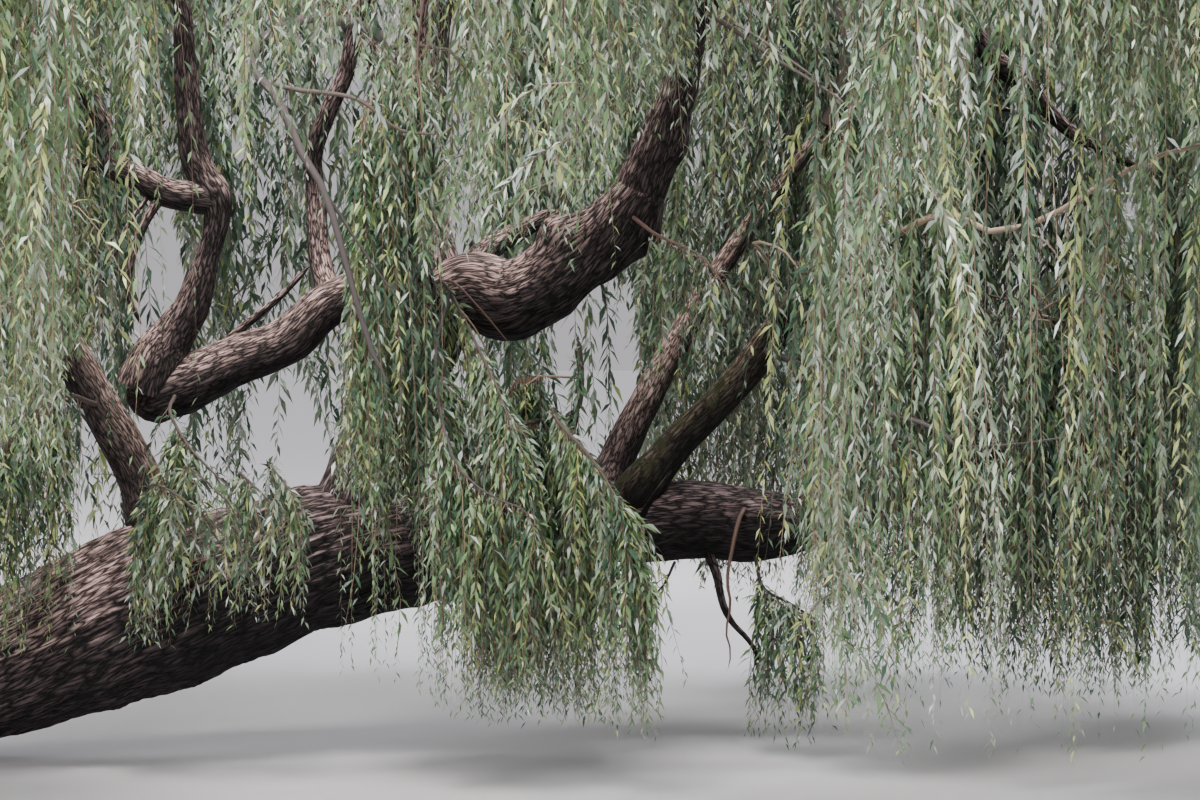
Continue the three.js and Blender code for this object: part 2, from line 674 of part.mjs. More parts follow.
// One mass: a stem from its bough's tip, arms round it, a strand beside every other arm, and sprays.
function growMass(mass, index, limbs, samples) {
  const growth = { mass, draw: seededDraws(index + 1), samples, taken: [], pieces: [] };
  const { draw, pieces } = growth;
  const limb = limbs.find((candidate) => candidate.name === mass.bough);
  const near = samples.map((sample) => (sample.limb === mass.bough
    ? { ...sample, margin: OWN_BOUGH_MARGIN }
    : sample));
  const tipRadius = limb.radii[limb.radii.length - 1];
  const stemRadii = STEM_RADII.map((radius) => Math.min(radius, tipRadius));
  const stem = twig(stemCurve(mass, limb), stemRadii, STEM_STEPS);
  const turn = draw() * 360;
  const count = mass.spread[0] > SMALL_SPREAD ? ARM_COUNT : SMALL_ARM_COUNT;
  const arms = [];
  for (let arm = 0; arm < count; arm += 1) {
    const start = onTwig(stem.middles, between(ARM_ROOTS, (arm + 0.5) / count));
    const azimuth = degrees(turn + GOLDEN_ANGLE * arm);
    const whole = armCurve(mass, start, azimuth, draw);
    const share = shareInSpace(mass, whole, near);
    if (share > LEAST_ARM) {
      const curve = firstPart(whole, share);
      arms.push({ ...twig(curve, ARM_RADII, ARM_STEPS), azimuth, curve, from: ARM_SPRAYS_FROM });
    }
  }
  const strands = [];
  for (const { middles, azimuth } of arms.filter((_, arm) => arm % 2 === 1)) {
    const whole = strandCurve(mass, onTwig(middles, STRAND_AT), azimuth, draw);
    const share = shareInSpace(mass, whole, samples);
    if (share * whole.getLength() > spraySize(mass) * SPRAY_LENGTH) {
      const curve = firstPart(whole, share);
      strands.push({ ...twig(curve, STRAND_RADII, STRAND_STEPS), azimuth, curve, from: STRAND_SPRAYS_FROM });
    }
  }
  pieces.push(stem.solid);
  for (const strand of [...arms, ...strands]) {
    pieces.push(strand.solid);
    growSprays(growth, strand);
  }
  return largestBody(wasm.Manifold.union(pieces));
}

const willow = new THREE.Group();
const limbs = growLimbs();
const samples = limbSamples(limbs);

for (const limb of limbs) {
  willow.add(namedMesh(limb.name, limb.solid, limb.bark));
}

MASSES.forEach((mass, index) => {
  willow.add(namedMesh(mass.name, growMass(mass, index, limbs, samples), FOLIAGE));
});

export default willow;
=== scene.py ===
"""Weeping willow: furrowed limbs, hanging twigs and narrow leaves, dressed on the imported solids.

Metres. +Z is up, +X runs the way the trunk leans, +Y points to the far side of the tree. The origin is
at ground level, in the flat cut under the trunk.
"""

import json
import logging
import math
from dataclasses import dataclass, field
from enum import Enum
from itertools import product

import bpy
import numpy as np
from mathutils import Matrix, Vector

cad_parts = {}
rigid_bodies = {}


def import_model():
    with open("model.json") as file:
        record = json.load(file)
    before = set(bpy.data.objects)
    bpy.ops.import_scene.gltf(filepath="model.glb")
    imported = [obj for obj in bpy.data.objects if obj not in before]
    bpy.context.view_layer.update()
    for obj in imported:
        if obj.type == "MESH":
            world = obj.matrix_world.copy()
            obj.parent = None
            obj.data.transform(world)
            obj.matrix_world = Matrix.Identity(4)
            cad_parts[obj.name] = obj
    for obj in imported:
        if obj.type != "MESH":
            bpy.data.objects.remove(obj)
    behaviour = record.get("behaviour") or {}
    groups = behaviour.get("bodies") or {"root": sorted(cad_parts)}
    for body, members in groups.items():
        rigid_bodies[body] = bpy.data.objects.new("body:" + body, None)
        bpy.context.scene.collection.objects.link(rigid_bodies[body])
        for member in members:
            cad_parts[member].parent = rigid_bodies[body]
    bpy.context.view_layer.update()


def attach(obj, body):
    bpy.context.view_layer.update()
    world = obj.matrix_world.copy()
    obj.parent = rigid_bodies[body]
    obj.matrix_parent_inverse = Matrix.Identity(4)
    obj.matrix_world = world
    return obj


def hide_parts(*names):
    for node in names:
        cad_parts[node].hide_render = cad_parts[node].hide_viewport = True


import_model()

log = logging.getLogger("willow")

Array = np.ndarray
Socket = bpy.types.NodeSocket
Material = bpy.types.Material
Object = bpy.types.Object
Place = tuple[float, float, float]
Pair = tuple[float, float]
Tint = tuple[float, float, float]
Stops = tuple[tuple[float, float], ...]

# The trunk's middle line and its radii, evenly spaced along it.
TRUNK_WAY: tuple[Place, ...] = (
    (-0.22, 0, -0.55), (0, 0, 0), (0.3, 0.01, 0.33), (0.72, 0.03, 0.46), (1.2, 0.06, 0.56),
    (1.9, 0.14, 0.83), (2.7, 0.3, 1.08), (3.53, 0.5, 1.3),
)
TRUNK_RADII = (0.6, 0.6, 0.53, 0.47, 0.45, 0.49, 0.54, 0.5, 0.47, 0.43)

# Buttress roots: how many, how far they reach, and how unevenly they are spread.
ROOT_COUNT = 7
ROOT_REACH = 1.25
ROOT_REACH_CHANGE = 0.15
ROOT_REACH_BEAT = 3.1
ROOT_TURN_CHANGE = 0.35
ROOT_TURN_BEAT = 2.4
ROOT_TOP: Place = (0.12, 0.0, 0.5)
ROOT_KNEE = (0.1, 0.42, 0.24)
ROOT_TOE = (0.05, 0.8)
ROOT_DEPTH = -0.35
ROOT_RADII = (0.27, 0.27, 0.2, 0.12)

# How a mass of foliage branches, by the same rule as its solid.
GOLDEN_ANGLE = 137.5
SEAT_GAP = 0.0003
STEM_RADII = (0.05, 0.036)
STEM_PULL = 0.4
STEM_CREST = 0.8
ARM_COUNT = 5
SMALL_ARM_COUNT = 4
ARM_ROOTS = (0.4, 0.96)
ARM_RADII = (0.016, 0.011)
ARM_OUT = (0.68, 0.88)
ARM_LIFT = (0.55, 0.75)
ARM_ARCH_AT = 0.55
ARM_ARCH_RISE = 0.2
ARM_FLARE = 1.06
ARM_HEM = (0.75, 0.95)
LEAST_ARM = 0.4
SMALL_SPREAD = 1.2
HEM_SQUARENESS = 8
ROOM_WIDEST = 0.95
ROOM_LEAST = 0.2
ROOM_STEP = 0.05
ROOM_HEIGHTS = (0.35, 0.0, -0.35, -0.7)
WAY_CHECKS = 32
LIMB_CHECK_SPACING = 0.12
SEED_FACTOR = 7919
SEED_START = 104729
DRAW_FACTOR = 1664525
DRAW_STEP = 1013904223
DRAW_RANGE = 2**32

# Lengths near nothing, the step that a heading is taken over, and how a bough leaves its parent.
TINY = 1e-12
TINY_LENGTH = 1e-6
HEADING_STEP = 0.005
NO_PARENT = -10.0
NAME_SALTS = 97
LEAVING_CHECKS = (0.6, 60)
LEAVING_DEPTH = 0.02

# How a cell's numbers are stirred into one that looks random.
CELL_FACTORS = (73856093, 19349663, 83492791)
SALT_FACTOR = 40503
STIRS = ((13, 1274126177), (15, 668265263))
LAST_SHIFT = 16
WORD = 0xFFFFFFFF
SCATTER_RANGE = 0x1000000

# The sockets of Blender's colour mixing node.
MIX_SHARE, MIX_LOW, MIX_HIGH, MIX_RESULT = 0, 6, 7, 2


def mix(start: float, end: float, share: float) -> float:
    """A share of the way from start to end."""
    return start + (end - start) * share


def unit(vectors: Array) -> Array:
    """Vectors made one long."""
    return vectors / np.maximum(np.linalg.norm(vectors, axis=-1, keepdims=True), TINY)


def along(values: tuple[float, ...], shares: Array) -> Array:
    """Values at shares, 0 to 1, of a list of evenly spaced values."""
    return np.interp(shares, np.linspace(0, 1, len(values)), values)


def smoothstep(values: Array) -> Array:
    """Values from 0 to 1, eased at both ends."""
    held = np.clip(values, 0, 1)
    return held * held * (3 - 2 * held)


class Draws:
    """Repeatable draws from 0 to 1 for one mass."""

    def __init__(self, seed: int) -> None:
        """Starts the run of draws that belongs to seed."""
        self.state = seed * SEED_FACTOR + SEED_START

    def next(self) -> float:
        """The next draw."""
        self.state = (self.state * DRAW_FACTOR + DRAW_STEP) % DRAW_RANGE
        return self.state / DRAW_RANGE

    def between(self, pair: Pair) -> float:
        """A draw from the lowest to the highest of a pair."""
        return mix(pair[0], pair[1], self.next())


class Way:
    """A smooth line through the air, measured along its length."""

    def __init__(self, fine: Array) -> None:
        """Measures a line that is given by closely spaced places."""
        self.fine = fine
        self.run = np.concatenate([[0.0], np.cumsum(np.linalg.norm(np.diff(fine, axis=0), axis=1))])

    @classmethod
    def through(cls, places: Array | tuple[Place, ...], fineness: int = 200) -> "Way":
        """A smooth line through places.

        Args:
            places: The places, in order.
            fineness: How many short steps the line is measured in.

        Returns:
            The line.
        """
        p = np.asarray(places, float)
        padded = np.vstack([2 * p[0] - p[1], p, 2 * p[-1] - p[-2]])
        gaps = np.sqrt(np.linalg.norm(np.diff(padded, axis=0), axis=1))[:, None]
        t = np.linspace(0, len(p) - 1, fineness + 1)
        i = np.minimum(t.astype(int), len(p) - 2)
        w = (t - i)[:, None]
        a, b, c, d = (padded[i + k] for k in range(4))
        g0, g1, g2 = (gaps[i + k] for k in range(3))
        leave = ((b - a) / g0 - (c - a) / (g0 + g1) + (c - b) / g1) * g1
        arrive = ((c - b) / g1 - (d - b) / (g1 + g2) + (d - c) / g2) * g1
        bend = 2 * b - 2 * c + leave + arrive
        ease = 3 * (c - b) - 2 * leave - arrive
        return cls(b + leave * w + ease * w**2 + bend * w**3)

    @classmethod
    def bent(cls, start: Array, through: Array, end: Array) -> "Way":
        """A line from start to end that leans towards a third place."""
        t = np.linspace(0, 1, 101)[:, None]
        return cls((1 - t) ** 2 * start + 2 * t * (1 - t) * through + t**2 * end)

    @property
    def length(self) -> float:
        """How long the line is."""
        return float(self.run[-1])

    def at(self, shares: Array | list[float] | float) -> Array:
        """Places at shares of the length."""
        want = np.asarray(shares, float) * self.length
        return np.stack([np.interp(want, self.run, self.fine[:, k]) for k in range(3)], axis=-1)

    def heading(self, share: float) -> Array:
        """The way that the line points at a share of its length."""
        return unit(self.at(min(1.0, share + HEADING_STEP)) - self.at(max(0.0, share - HEADING_STEP)))

    def first(self, share: float) -> "Way":
        """The first share of the line."""
        return Way.through(self.at(np.linspace(0, share, 5)), 60)


class Grain:
    """Patterns that are worked out from places alone, so that they come out the same each time."""

    @staticmethod
    def scatter(cells: Array, salt: int) -> Array:
        """Numbers from 0 to 1 that look random, one for each whole-numbered cell.

        Args:
            cells: Cells as (..., 3) whole numbers.
            salt: Picks one of many such patterns.

        Returns:
            One number for each cell.
        """
        h = np.int64(salt * SALT_FACTOR)
        for k, factor in enumerate(CELL_FACTORS):
            h = h ^ cells[..., k].astype(np.int64) * factor
        for shift, factor in STIRS:
            h = ((h ^ (h >> shift)) & WORD) * factor & WORD
        return ((h ^ (h >> LAST_SHIFT)) & (SCATTER_RANGE - 1)) / float(SCATTER_RANGE)

    @classmethod
    def soft(cls, places: Array, salt: int = 0) -> Array:
        """Smooth noise from 0 to 1, with lumps about one unit across."""
        cell = np.floor(places)
        part = smoothstep(places - cell)
        total = np.zeros(len(places))
        for corner in product((0, 1), repeat=3):
            weight = np.prod(np.where(np.array(corner) == 1, part, 1 - part), axis=1)
            total += weight * cls.scatter(cell + np.array(corner), salt)
        return total

    @classmethod
    def jitter(cls, places: Array) -> Array:
        """Three smooth noises from 0 to 1 for each place."""
        return np.stack([cls.soft(places, salt) for salt in (21, 22, 23)], axis=1)

    @classmethod
    def plates(cls, places: Array) -> Array:
        """How far a place lies from the border between two plates: 0 in the crack."""
        cell = np.floor(places)
        nearest = np.full(len(places), 9.0)
        second = np.full(len(places), 9.0)
        for offset in product((-1, 0, 1), repeat=3):
            home = cell + np.array(offset)
            heart = home + np.stack([cls.scatter(home, salt) for salt in (1, 2, 3)], axis=1)
            distance = np.linalg.norm(places - heart, axis=1)
            second = np.minimum(second, np.maximum(nearest, distance))
            nearest = np.minimum(nearest, distance)
        return second - nearest


class Nodes:
    """Short ways to write the nodes of one material."""

    def __init__(self, name: str) -> None:
        """Makes a material with an empty principled shader."""
        self.material = bpy.data.materials.new(name)
        self.material.use_nodes = True
        self.tree = self.material.node_tree
        self.shader = self.tree.nodes["Principled BSDF"]

    def add(self, kind: str, **values: object) -> bpy.types.Node:
        """A new node of a kind.

        Args:
            kind: Blender's name for the node.
            values: Properties, or inputs by name with spaces as underscores.

        Returns:
            The node.
        """
        node = self.tree.nodes.new(kind)
        for key, value in values.items():
            if hasattr(node, key):
                setattr(node, key, value)
            else:
                node.inputs[key.replace("_", " ")].default_value = value
        return node

    def link(self, source: Socket, target: Socket) -> None:
        """Joins two sockets."""
        self.tree.links.new(source, target)

    def ramp(self, source: Socket, stops: list[tuple[float, tuple]]) -> Socket:
        """Colours by value.

        Args:
            source: The value.
            stops: Positions and colours, in order.

        Returns:
            The colour socket.
        """
        node = self.add("ShaderNodeValToRGB")
        elements = node.color_ramp.elements
        while len(elements) < len(stops):
            elements.new(0.5)
        for element, (position, colour) in zip(elements, stops):
            element.position = position
            element.color = (*colour, 1.0)
        self.link(source, node.inputs["Fac"])
        return node.outputs["Color"]

    def grey(self, source: Socket, stops: Stops) -> Socket:
        """Greys by value."""
        return self.ramp(source, [(position, (level,) * 3) for position, level in stops])

    def blend(self, low: object, high: object, share: object = 1.0, way: str = "MIX") -> Socket:
        """Puts two colours together.

        Args:
            low: A colour, as a socket or plain numbers.
            high: The colour that goes over it.
            share: How much of the second, as a socket or a number.
            way: One of Blender's blend types.

        Returns:
            The colour socket.
        """
        node = self.add("ShaderNodeMix", data_type="RGBA", blend_type=way)
        for index, value in ((MIX_SHARE, share), (MIX_LOW, low), (MIX_HIGH, high)):
            if isinstance(value, Socket):
                self.link(value, node.inputs[index])
            else:
                node.inputs[index].default_value = value
        return node.outputs[MIX_RESULT]

    def noise(self, place: Socket, scale: float, detail: float, roughness: float = 0.5) -> object:
        """The outputs of a noise at a place."""
        node = self.add("ShaderNodeTexNoise", Scale=scale, Detail=detail, Roughness=roughness)
        self.link(place, node.inputs["Vector"])
        return node.outputs

    def axes(self, kind: str, output: str) -> object:
        """The X, Y and Z that a kind of node gives out."""
        split = self.add("ShaderNodeSeparateXYZ")
        self.link(self.add(kind).outputs[output], split.inputs[0])
        return split.outputs

    def span(self, source: Socket, low: float, high: float) -> Socket:
        """How far a value lies from low to high, held between 0 and 1."""
        node = self.add("ShaderNodeMapRange", clamp=True, From_Min=low, From_Max=high)
        self.link(source, node.inputs["Value"])
        return node.outputs["Result"]


@dataclass(frozen=True)
class PlainFinish:
    """A plain colour with an even sheen."""

    name: str
    colour: Tint
    roughness: float

    def material(self) -> Material:
        """The finish as a material."""
        nodes = Nodes(self.name)
        nodes.shader.inputs["Base Color"].default_value = (*self.colour, 1.0)
        nodes.shader.inputs["Roughness"].default_value = self.roughness
        return nodes.material


@dataclass(frozen=True)
class BarkFinish:
    """Furrowed bark: dark in its cracks, partly its own colour and partly painted shade, paler on its ridges,
    with moss on top where it grows.
    """

    name: str
    slot: str
    # The cracks' colour is partly the bark's own and partly painted shade in the furrows.
    crack: Tint
    flank: Tint
    ridge: Tint
    moss_share: float
    colour_stops: tuple[float, ...] = (0.06, 0.3, 0.8)
    moss: Tint = (0.05, 0.056, 0.024)
    moss_scale: float = 9.0
    moss_lift: float = 0.28
    moss_edges: Pair = (-0.08, 0.12)
    blotch_scale: float = 3.0
    blotches: tuple[Tint, Tint] = ((0.6, 0.58, 0.57), (1.3, 1.26, 1.26))
    blotch_stops: Pair = (0.3, 0.7)
    roughness: float = 0.85
    sheen: float = 0.3
    bump: float = 0.013
    fineness: float = 1.9
    plate_scale: Place = (1.12, 1.12, 1.45)
    sway_scale: float = 0.8
    sway: Place = (1.7, 1.7, 0.8)
    plate_stops: Stops = ((0.0, 0.0), (0.07, 0.3), (0.26, 1.0))
    crumb_scale: float = 4.0
    crumb_stops: Stops = ((0.34, 0.5), (0.6, 1.0))
    relief_stops: Stops = ((0.05, 0.45), (0.5, 1.0))
    # Painted light and shade by which way the bark faces: darker on a limb's underside and sides, lighter on
    # its top.
    painted_underside_shade: Tint = (0.13, 0.125, 0.145)
    painted_flank_shade: Tint = (0.3, 0.29, 0.305)
    lit_side: Tint = (2.3, 2.1, 2.1)
    side_stops: tuple[float, ...] = (0.18, 0.52, 0.82)
    # Painted sunlight brightens the bark, and painted shade darkens it low down under the crown, past x 1.9
    # and below a height of 2.5.
    painted_sunlight: Tint = (1.45, 1.39, 1.36)
    painted_crown_shade: Tint = (0.58, 0.57, 0.6)
    crown_shade_from: Pair = (1.9, 2.7)
    crown_shade_below: Pair = (2.5, 1.95)

    def material(self) -> Material:
        """The finish as a material."""
        nodes = Nodes(self.name)
        furrows = self._furrows(nodes)
        # Crack colour, partly painted shade, up to the ridge colour by the bark's height.
        colour = nodes.ramp(furrows, [*zip(self.colour_stops, (self.crack, self.flank, self.ridge))])
        place = nodes.add("ShaderNodeTexCoord").outputs["Object"]
        blotch = nodes.noise(place, self.blotch_scale, 4.0)["Fac"]
        shade = nodes.ramp(blotch, [*zip(self.blotch_stops, self.blotches)])
        colour = nodes.blend(colour, shade, way="MULTIPLY")
        colour = nodes.blend(colour, self._painted_light_and_shade(nodes), way="MULTIPLY")
        if self.moss_share > 0:
            colour = self._mossy(nodes, place, colour)
        nodes.link(colour, nodes.shader.inputs["Base Color"])
        nodes.shader.inputs["Roughness"].default_value = self.roughness
        nodes.shader.inputs["Specular IOR Level"].default_value = self.sheen
        bump = nodes.add("ShaderNodeBump", Strength=1.0, Distance=self.bump)
        nodes.link(furrows, bump.inputs["Height"])
        nodes.link(bump.outputs["Normal"], nodes.shader.inputs["Normal"])
        return nodes.material

    def _furrows(self, nodes: Nodes) -> Socket:
        """The bark's height, 0 in a crack and 1 on a ridge: plates cut by fine cracks."""
        relief = nodes.add("ShaderNodeAttribute", attribute_name="relief").outputs["Fac"]
        grain = nodes.add("ShaderNodeAttribute", attribute_name="grain").outputs["Vector"]
        scaled = nodes.add("ShaderNodeVectorMath", operation="MULTIPLY")
        nodes.link(grain, scaled.inputs[0])
        scaled.inputs[1].default_value = self.plate_scale
        sway = nodes.noise(scaled.outputs["Vector"], self.sway_scale, 4.0, 0.6)["Color"]
        bent = nodes.add("ShaderNodeVectorMath", operation="MULTIPLY_ADD")
        nodes.link(sway, bent.inputs[0])
        bent.inputs[1].default_value = self.sway
        nodes.link(scaled.outputs["Vector"], bent.inputs[2])
        cracks = nodes.add("ShaderNodeTexVoronoi", feature="DISTANCE_TO_EDGE", Scale=self.fineness)
        nodes.link(bent.outputs["Vector"], cracks.inputs["Vector"])
        plates = nodes.grey(cracks.outputs["Distance"], self.plate_stops)
        crumb = nodes.noise(bent.outputs["Vector"], self.crumb_scale, 6.0, 0.7)["Fac"]
        crumbs = nodes.grey(crumb, self.crumb_stops)
        broad = nodes.grey(relief, self.relief_stops)
        return nodes.blend(nodes.blend(plates, crumbs, way="MULTIPLY"), broad, way="MULTIPLY")

    def _painted_light_and_shade(self, nodes: Nodes) -> Socket:
        """Painted light and shade: dark on a limb's underside and sides, light on its top, darker low down
        under the crown and brighter elsewhere.
        """
        height = nodes.span(nodes.axes("ShaderNodeNewGeometry", "Normal")["Z"], -1.0, 1.0)
        tint = nodes.ramp(height, [*zip(self.side_stops, (self.painted_underside_shade, self.painted_flank_shade, self.lit_side))])
        place = nodes.axes("ShaderNodeTexCoord", "Object")
        under_crown = nodes.add("ShaderNodeMath", operation="MULTIPLY")
        for number, (axis, edges) in enumerate((("X", self.crown_shade_from), ("Z", self.crown_shade_below))):
            nodes.link(nodes.span(place[axis], *edges), under_crown.inputs[number])
        # Painted shade under the crown, painted sunlight elsewhere.
        crown_shade_tint = nodes.ramp(under_crown.outputs[0], [(0.0, self.painted_sunlight), (1.0, self.painted_crown_shade)])
        return nodes.blend(tint, crown_shade_tint, way="MULTIPLY")

    def _mossy(self, nodes: Nodes, place: Socket, colour: Socket) -> Socket:
        """Lays moss over the bare bark's colour, most of it on the upper side.

        Args:
            nodes: The material's nodes.
            place: Where on the limb.
            colour: The bare bark's colour.

        Returns:
            The mossy colour.
        """
        patch = nodes.noise(place, self.moss_scale, 5.0)["Fac"]
        lifted = nodes.add("ShaderNodeMath", operation="MULTIPLY_ADD")
        nodes.link(nodes.axes("ShaderNodeNewGeometry", "Normal")["Z"], lifted.inputs[0])
        lifted.inputs[1].default_value = self.moss_lift
        nodes.link(patch, lifted.inputs[2])
        low, high = (1 - self.moss_share + edge for edge in self.moss_edges)
        share = nodes.grey(lifted.outputs[0], ((low, 0.0), (high, 1.0)))
        return nodes.blend(colour, (*self.moss, 1.0), share)


class Bark(Enum):
    """The kinds of bark on the tree."""

    DARK = BarkFinish(
        "dark bark", "bark", (0.006, 0.005, 0.006), (0.085, 0.068, 0.064), (0.36, 0.29, 0.28), 0.12)
    PALE = BarkFinish(
        "pale bark", "pale_bark", (0.02, 0.015, 0.013), (0.15, 0.12, 0.108), (0.44, 0.36, 0.33), 0.1)
    MOSSY = BarkFinish(
        "mossy bark", "mossy_bark", (0.01, 0.009, 0.007), (0.085, 0.075, 0.055), (0.26, 0.225, 0.17), 0.34)


class Leaf(Enum):
    """The tones that leaves are dealt in, spray by spray."""

    # Dealt at random, and also as painted shade within the crown.
    DEEP = PlainFinish("deep leaf", (0.048, 0.1, 0.058), 0.45)
    GREEN = PlainFinish("green leaf", (0.128, 0.215, 0.092), 0.42)
    GREY = PlainFinish("grey leaf", (0.222, 0.285, 0.2), 0.4)
    SUNLIT = PlainFinish("sunlit leaf", (0.37, 0.43, 0.155), 0.4)
    SILVER = PlainFinish("silver leaf", (0.48, 0.55, 0.5), 0.38)
    SHADED = PlainFinish("shaded leaf", (0.012, 0.03, 0.02), 0.5)

    @property
    def number(self) -> int:
        """The tone's place in the list."""
        return list(Leaf).index(self)


class Wood(Enum):
    """The tones of twigs."""

    STEM = PlainFinish("stem wood", (0.1, 0.076, 0.066), 0.8)
    TAN = PlainFinish("tan twig", (0.31, 0.22, 0.155), 0.6)
    RED = PlainFinish("red twig", (0.14, 0.08, 0.064), 0.7)
    DARK = PlainFinish("dark twig", (0.022, 0.018, 0.018), 0.8)
    GREY = PlainFinish("grey twig", (0.078, 0.063, 0.063), 0.8)


@dataclass(frozen=True)
class Look:
    """How part of the crown looks: strands for each square metre of plan, leaf size and leaf spacing."""

    label: str
    crowding: float
    leaf_size: float
    leaf_spacing: float


class Sector(Enum):
    """The parts of the crown that are joined into pieces of their own."""

    FRONT_LEFT = Look("front_left", 38.5, 0.79, 0.026)
    FRONT_RIGHT = Look("front_right", 68.0, 0.78, 0.027)
    INNER_LEFT = Look("inner_left", 62.0, 0.72, 0.026)
    INNER_RIGHT = Look("inner_right", 54.0, 0.78, 0.027)
    SIDES = Look("sides", 15.0, 1.18, 0.032)
    BACK = Look("back", 15.0, 1.22, 0.032)
    CROWN = Look("crown", 12.5, 1.22, 0.032)


def place_object(name: str, mesh: bpy.types.Mesh) -> Object:
    """Puts a mesh into the scene as an object."""
    made = bpy.data.objects.new(name, mesh)
    bpy.context.scene.collection.objects.link(made)
    return made


def mesh_of(name: str, vertices: Array, faces: Array, tones: Array | None = None) -> bpy.types.Mesh:
    """A smooth mesh from arrays.

    Args:
        name: The mesh's name.
        vertices: Places, as (count, 3).
        faces: Vertex numbers, as (count, 3) or (count, 4).
        tones: Which material each face takes.

    Returns:
        The mesh.
    """
    mesh = bpy.data.meshes.new(name)
    mesh.vertices.add(len(vertices))
    mesh.vertices.foreach_set("co", np.ascontiguousarray(vertices, np.float32).ravel())
    mesh.loops.add(faces.size)
    mesh.loops.foreach_set("vertex_index", np.ascontiguousarray(faces, np.int32).ravel())
    mesh.polygons.add(len(faces))
    starts = np.arange(0, faces.size, faces.shape[1], dtype=np.int32)
    mesh.polygons.foreach_set("loop_start", starts)
    if tones is not None:
        mesh.polygons.foreach_set("material_index", np.ascontiguousarray(tones, np.int32))
    mesh.update(calc_edges=True)
    mesh.shade_smooth()
    return mesh


def carried(points: Array) -> tuple[Array, Array, Array]:
    """Directions across a line, carried along it without twisting.

    Args:
        points: Places along the line.

    Returns:
        The headings, and two directions across them.
    """
    headings = unit(np.gradient(points, axis=0))
    start = np.array([0.0, 0.0, 1.0]) if abs(headings[0, 2]) < 0.9 else np.array([1.0, 0.0, 0.0])
    across = np.empty_like(points)
    current = np.cross(headings[0], start)
    for i, heading in enumerate(headings):
        current = unit(current - heading * np.dot(current, heading))
        across[i] = current
    return headings, across, np.cross(headings, across)


def grid_faces(rows: int, columns: int) -> Array:
    """Faces of a tube's grid, closed round its columns."""
    row, column = np.meshgrid(np.arange(rows - 1), np.arange(columns), indexing="ij")
    here = row * columns + column
    beside = row * columns + (column + 1) % columns
    return np.stack([here, beside, beside + columns, here + columns], axis=-1).reshape(-1, 4)


@dataclass(frozen=True)
class Relief:
    """The bark's height: plates between furrows that run together and part, with crumbs on them."""

    warp_scale: Place = (0.6, 0.6, 1.6)
    warp: Place = (1.5, 1.5, 0.8)
    salt_step: float = 3.7
    ridge_width: float = 0.8
    ridge_shape: float = 0.65
    wander_scale: Place = (0.9, 0.9, 0.45)
    wander_width: float = 0.16
    wander_shape: float = 0.7
    wander_share: float = 0.65
    crumb_scale: Place = (3.3, 3.3, 9.0)
    ridge_height: float = 0.8
    crumb_height: float = 0.3
    floor: float = 0.05

    def at(self, flat: Array, salt: float) -> tuple[Array, Array]:
        """The bark at places in its grain.

        Args:
            flat: The places.
            salt: Sets one limb's bark apart from another's.

        Returns:
            Heights from 0 in a furrow to 1 on a plate, and places in the grain.
        """
        warp = [Grain.soft(flat * self.warp_scale + salt, number) for number in (11, 12, 13)]
        bent = flat + (np.stack(warp, axis=1) - 0.5) * self.warp + salt * self.salt_step
        ridges = np.clip(Grain.plates(bent) / self.ridge_width, 0, 1) ** self.ridge_shape
        veins = np.abs(Grain.soft(bent * self.wander_scale, 15) - 0.5) / self.wander_width
        wandering = np.clip(veins, 0, 1) ** self.wander_shape
        crumbs = Grain.soft(bent * self.crumb_scale, 17)
        height = self.ridge_height * ridges * ((1 - self.wander_share) + self.wander_share * wandering)
        return np.clip(height + self.crumb_height * crumbs - self.floor, 0, 1), flat + salt


@dataclass(frozen=True)
class Burl:
    """A lump on a limb: where it is, how wide, and how far it stands out."""

    place: Place
    width: float
    rise: float


@dataclass(frozen=True)
class Stub:
    """A short side branch that is part of its limb, with the same bark."""

    way: tuple[Place, ...]
    radii: Pair


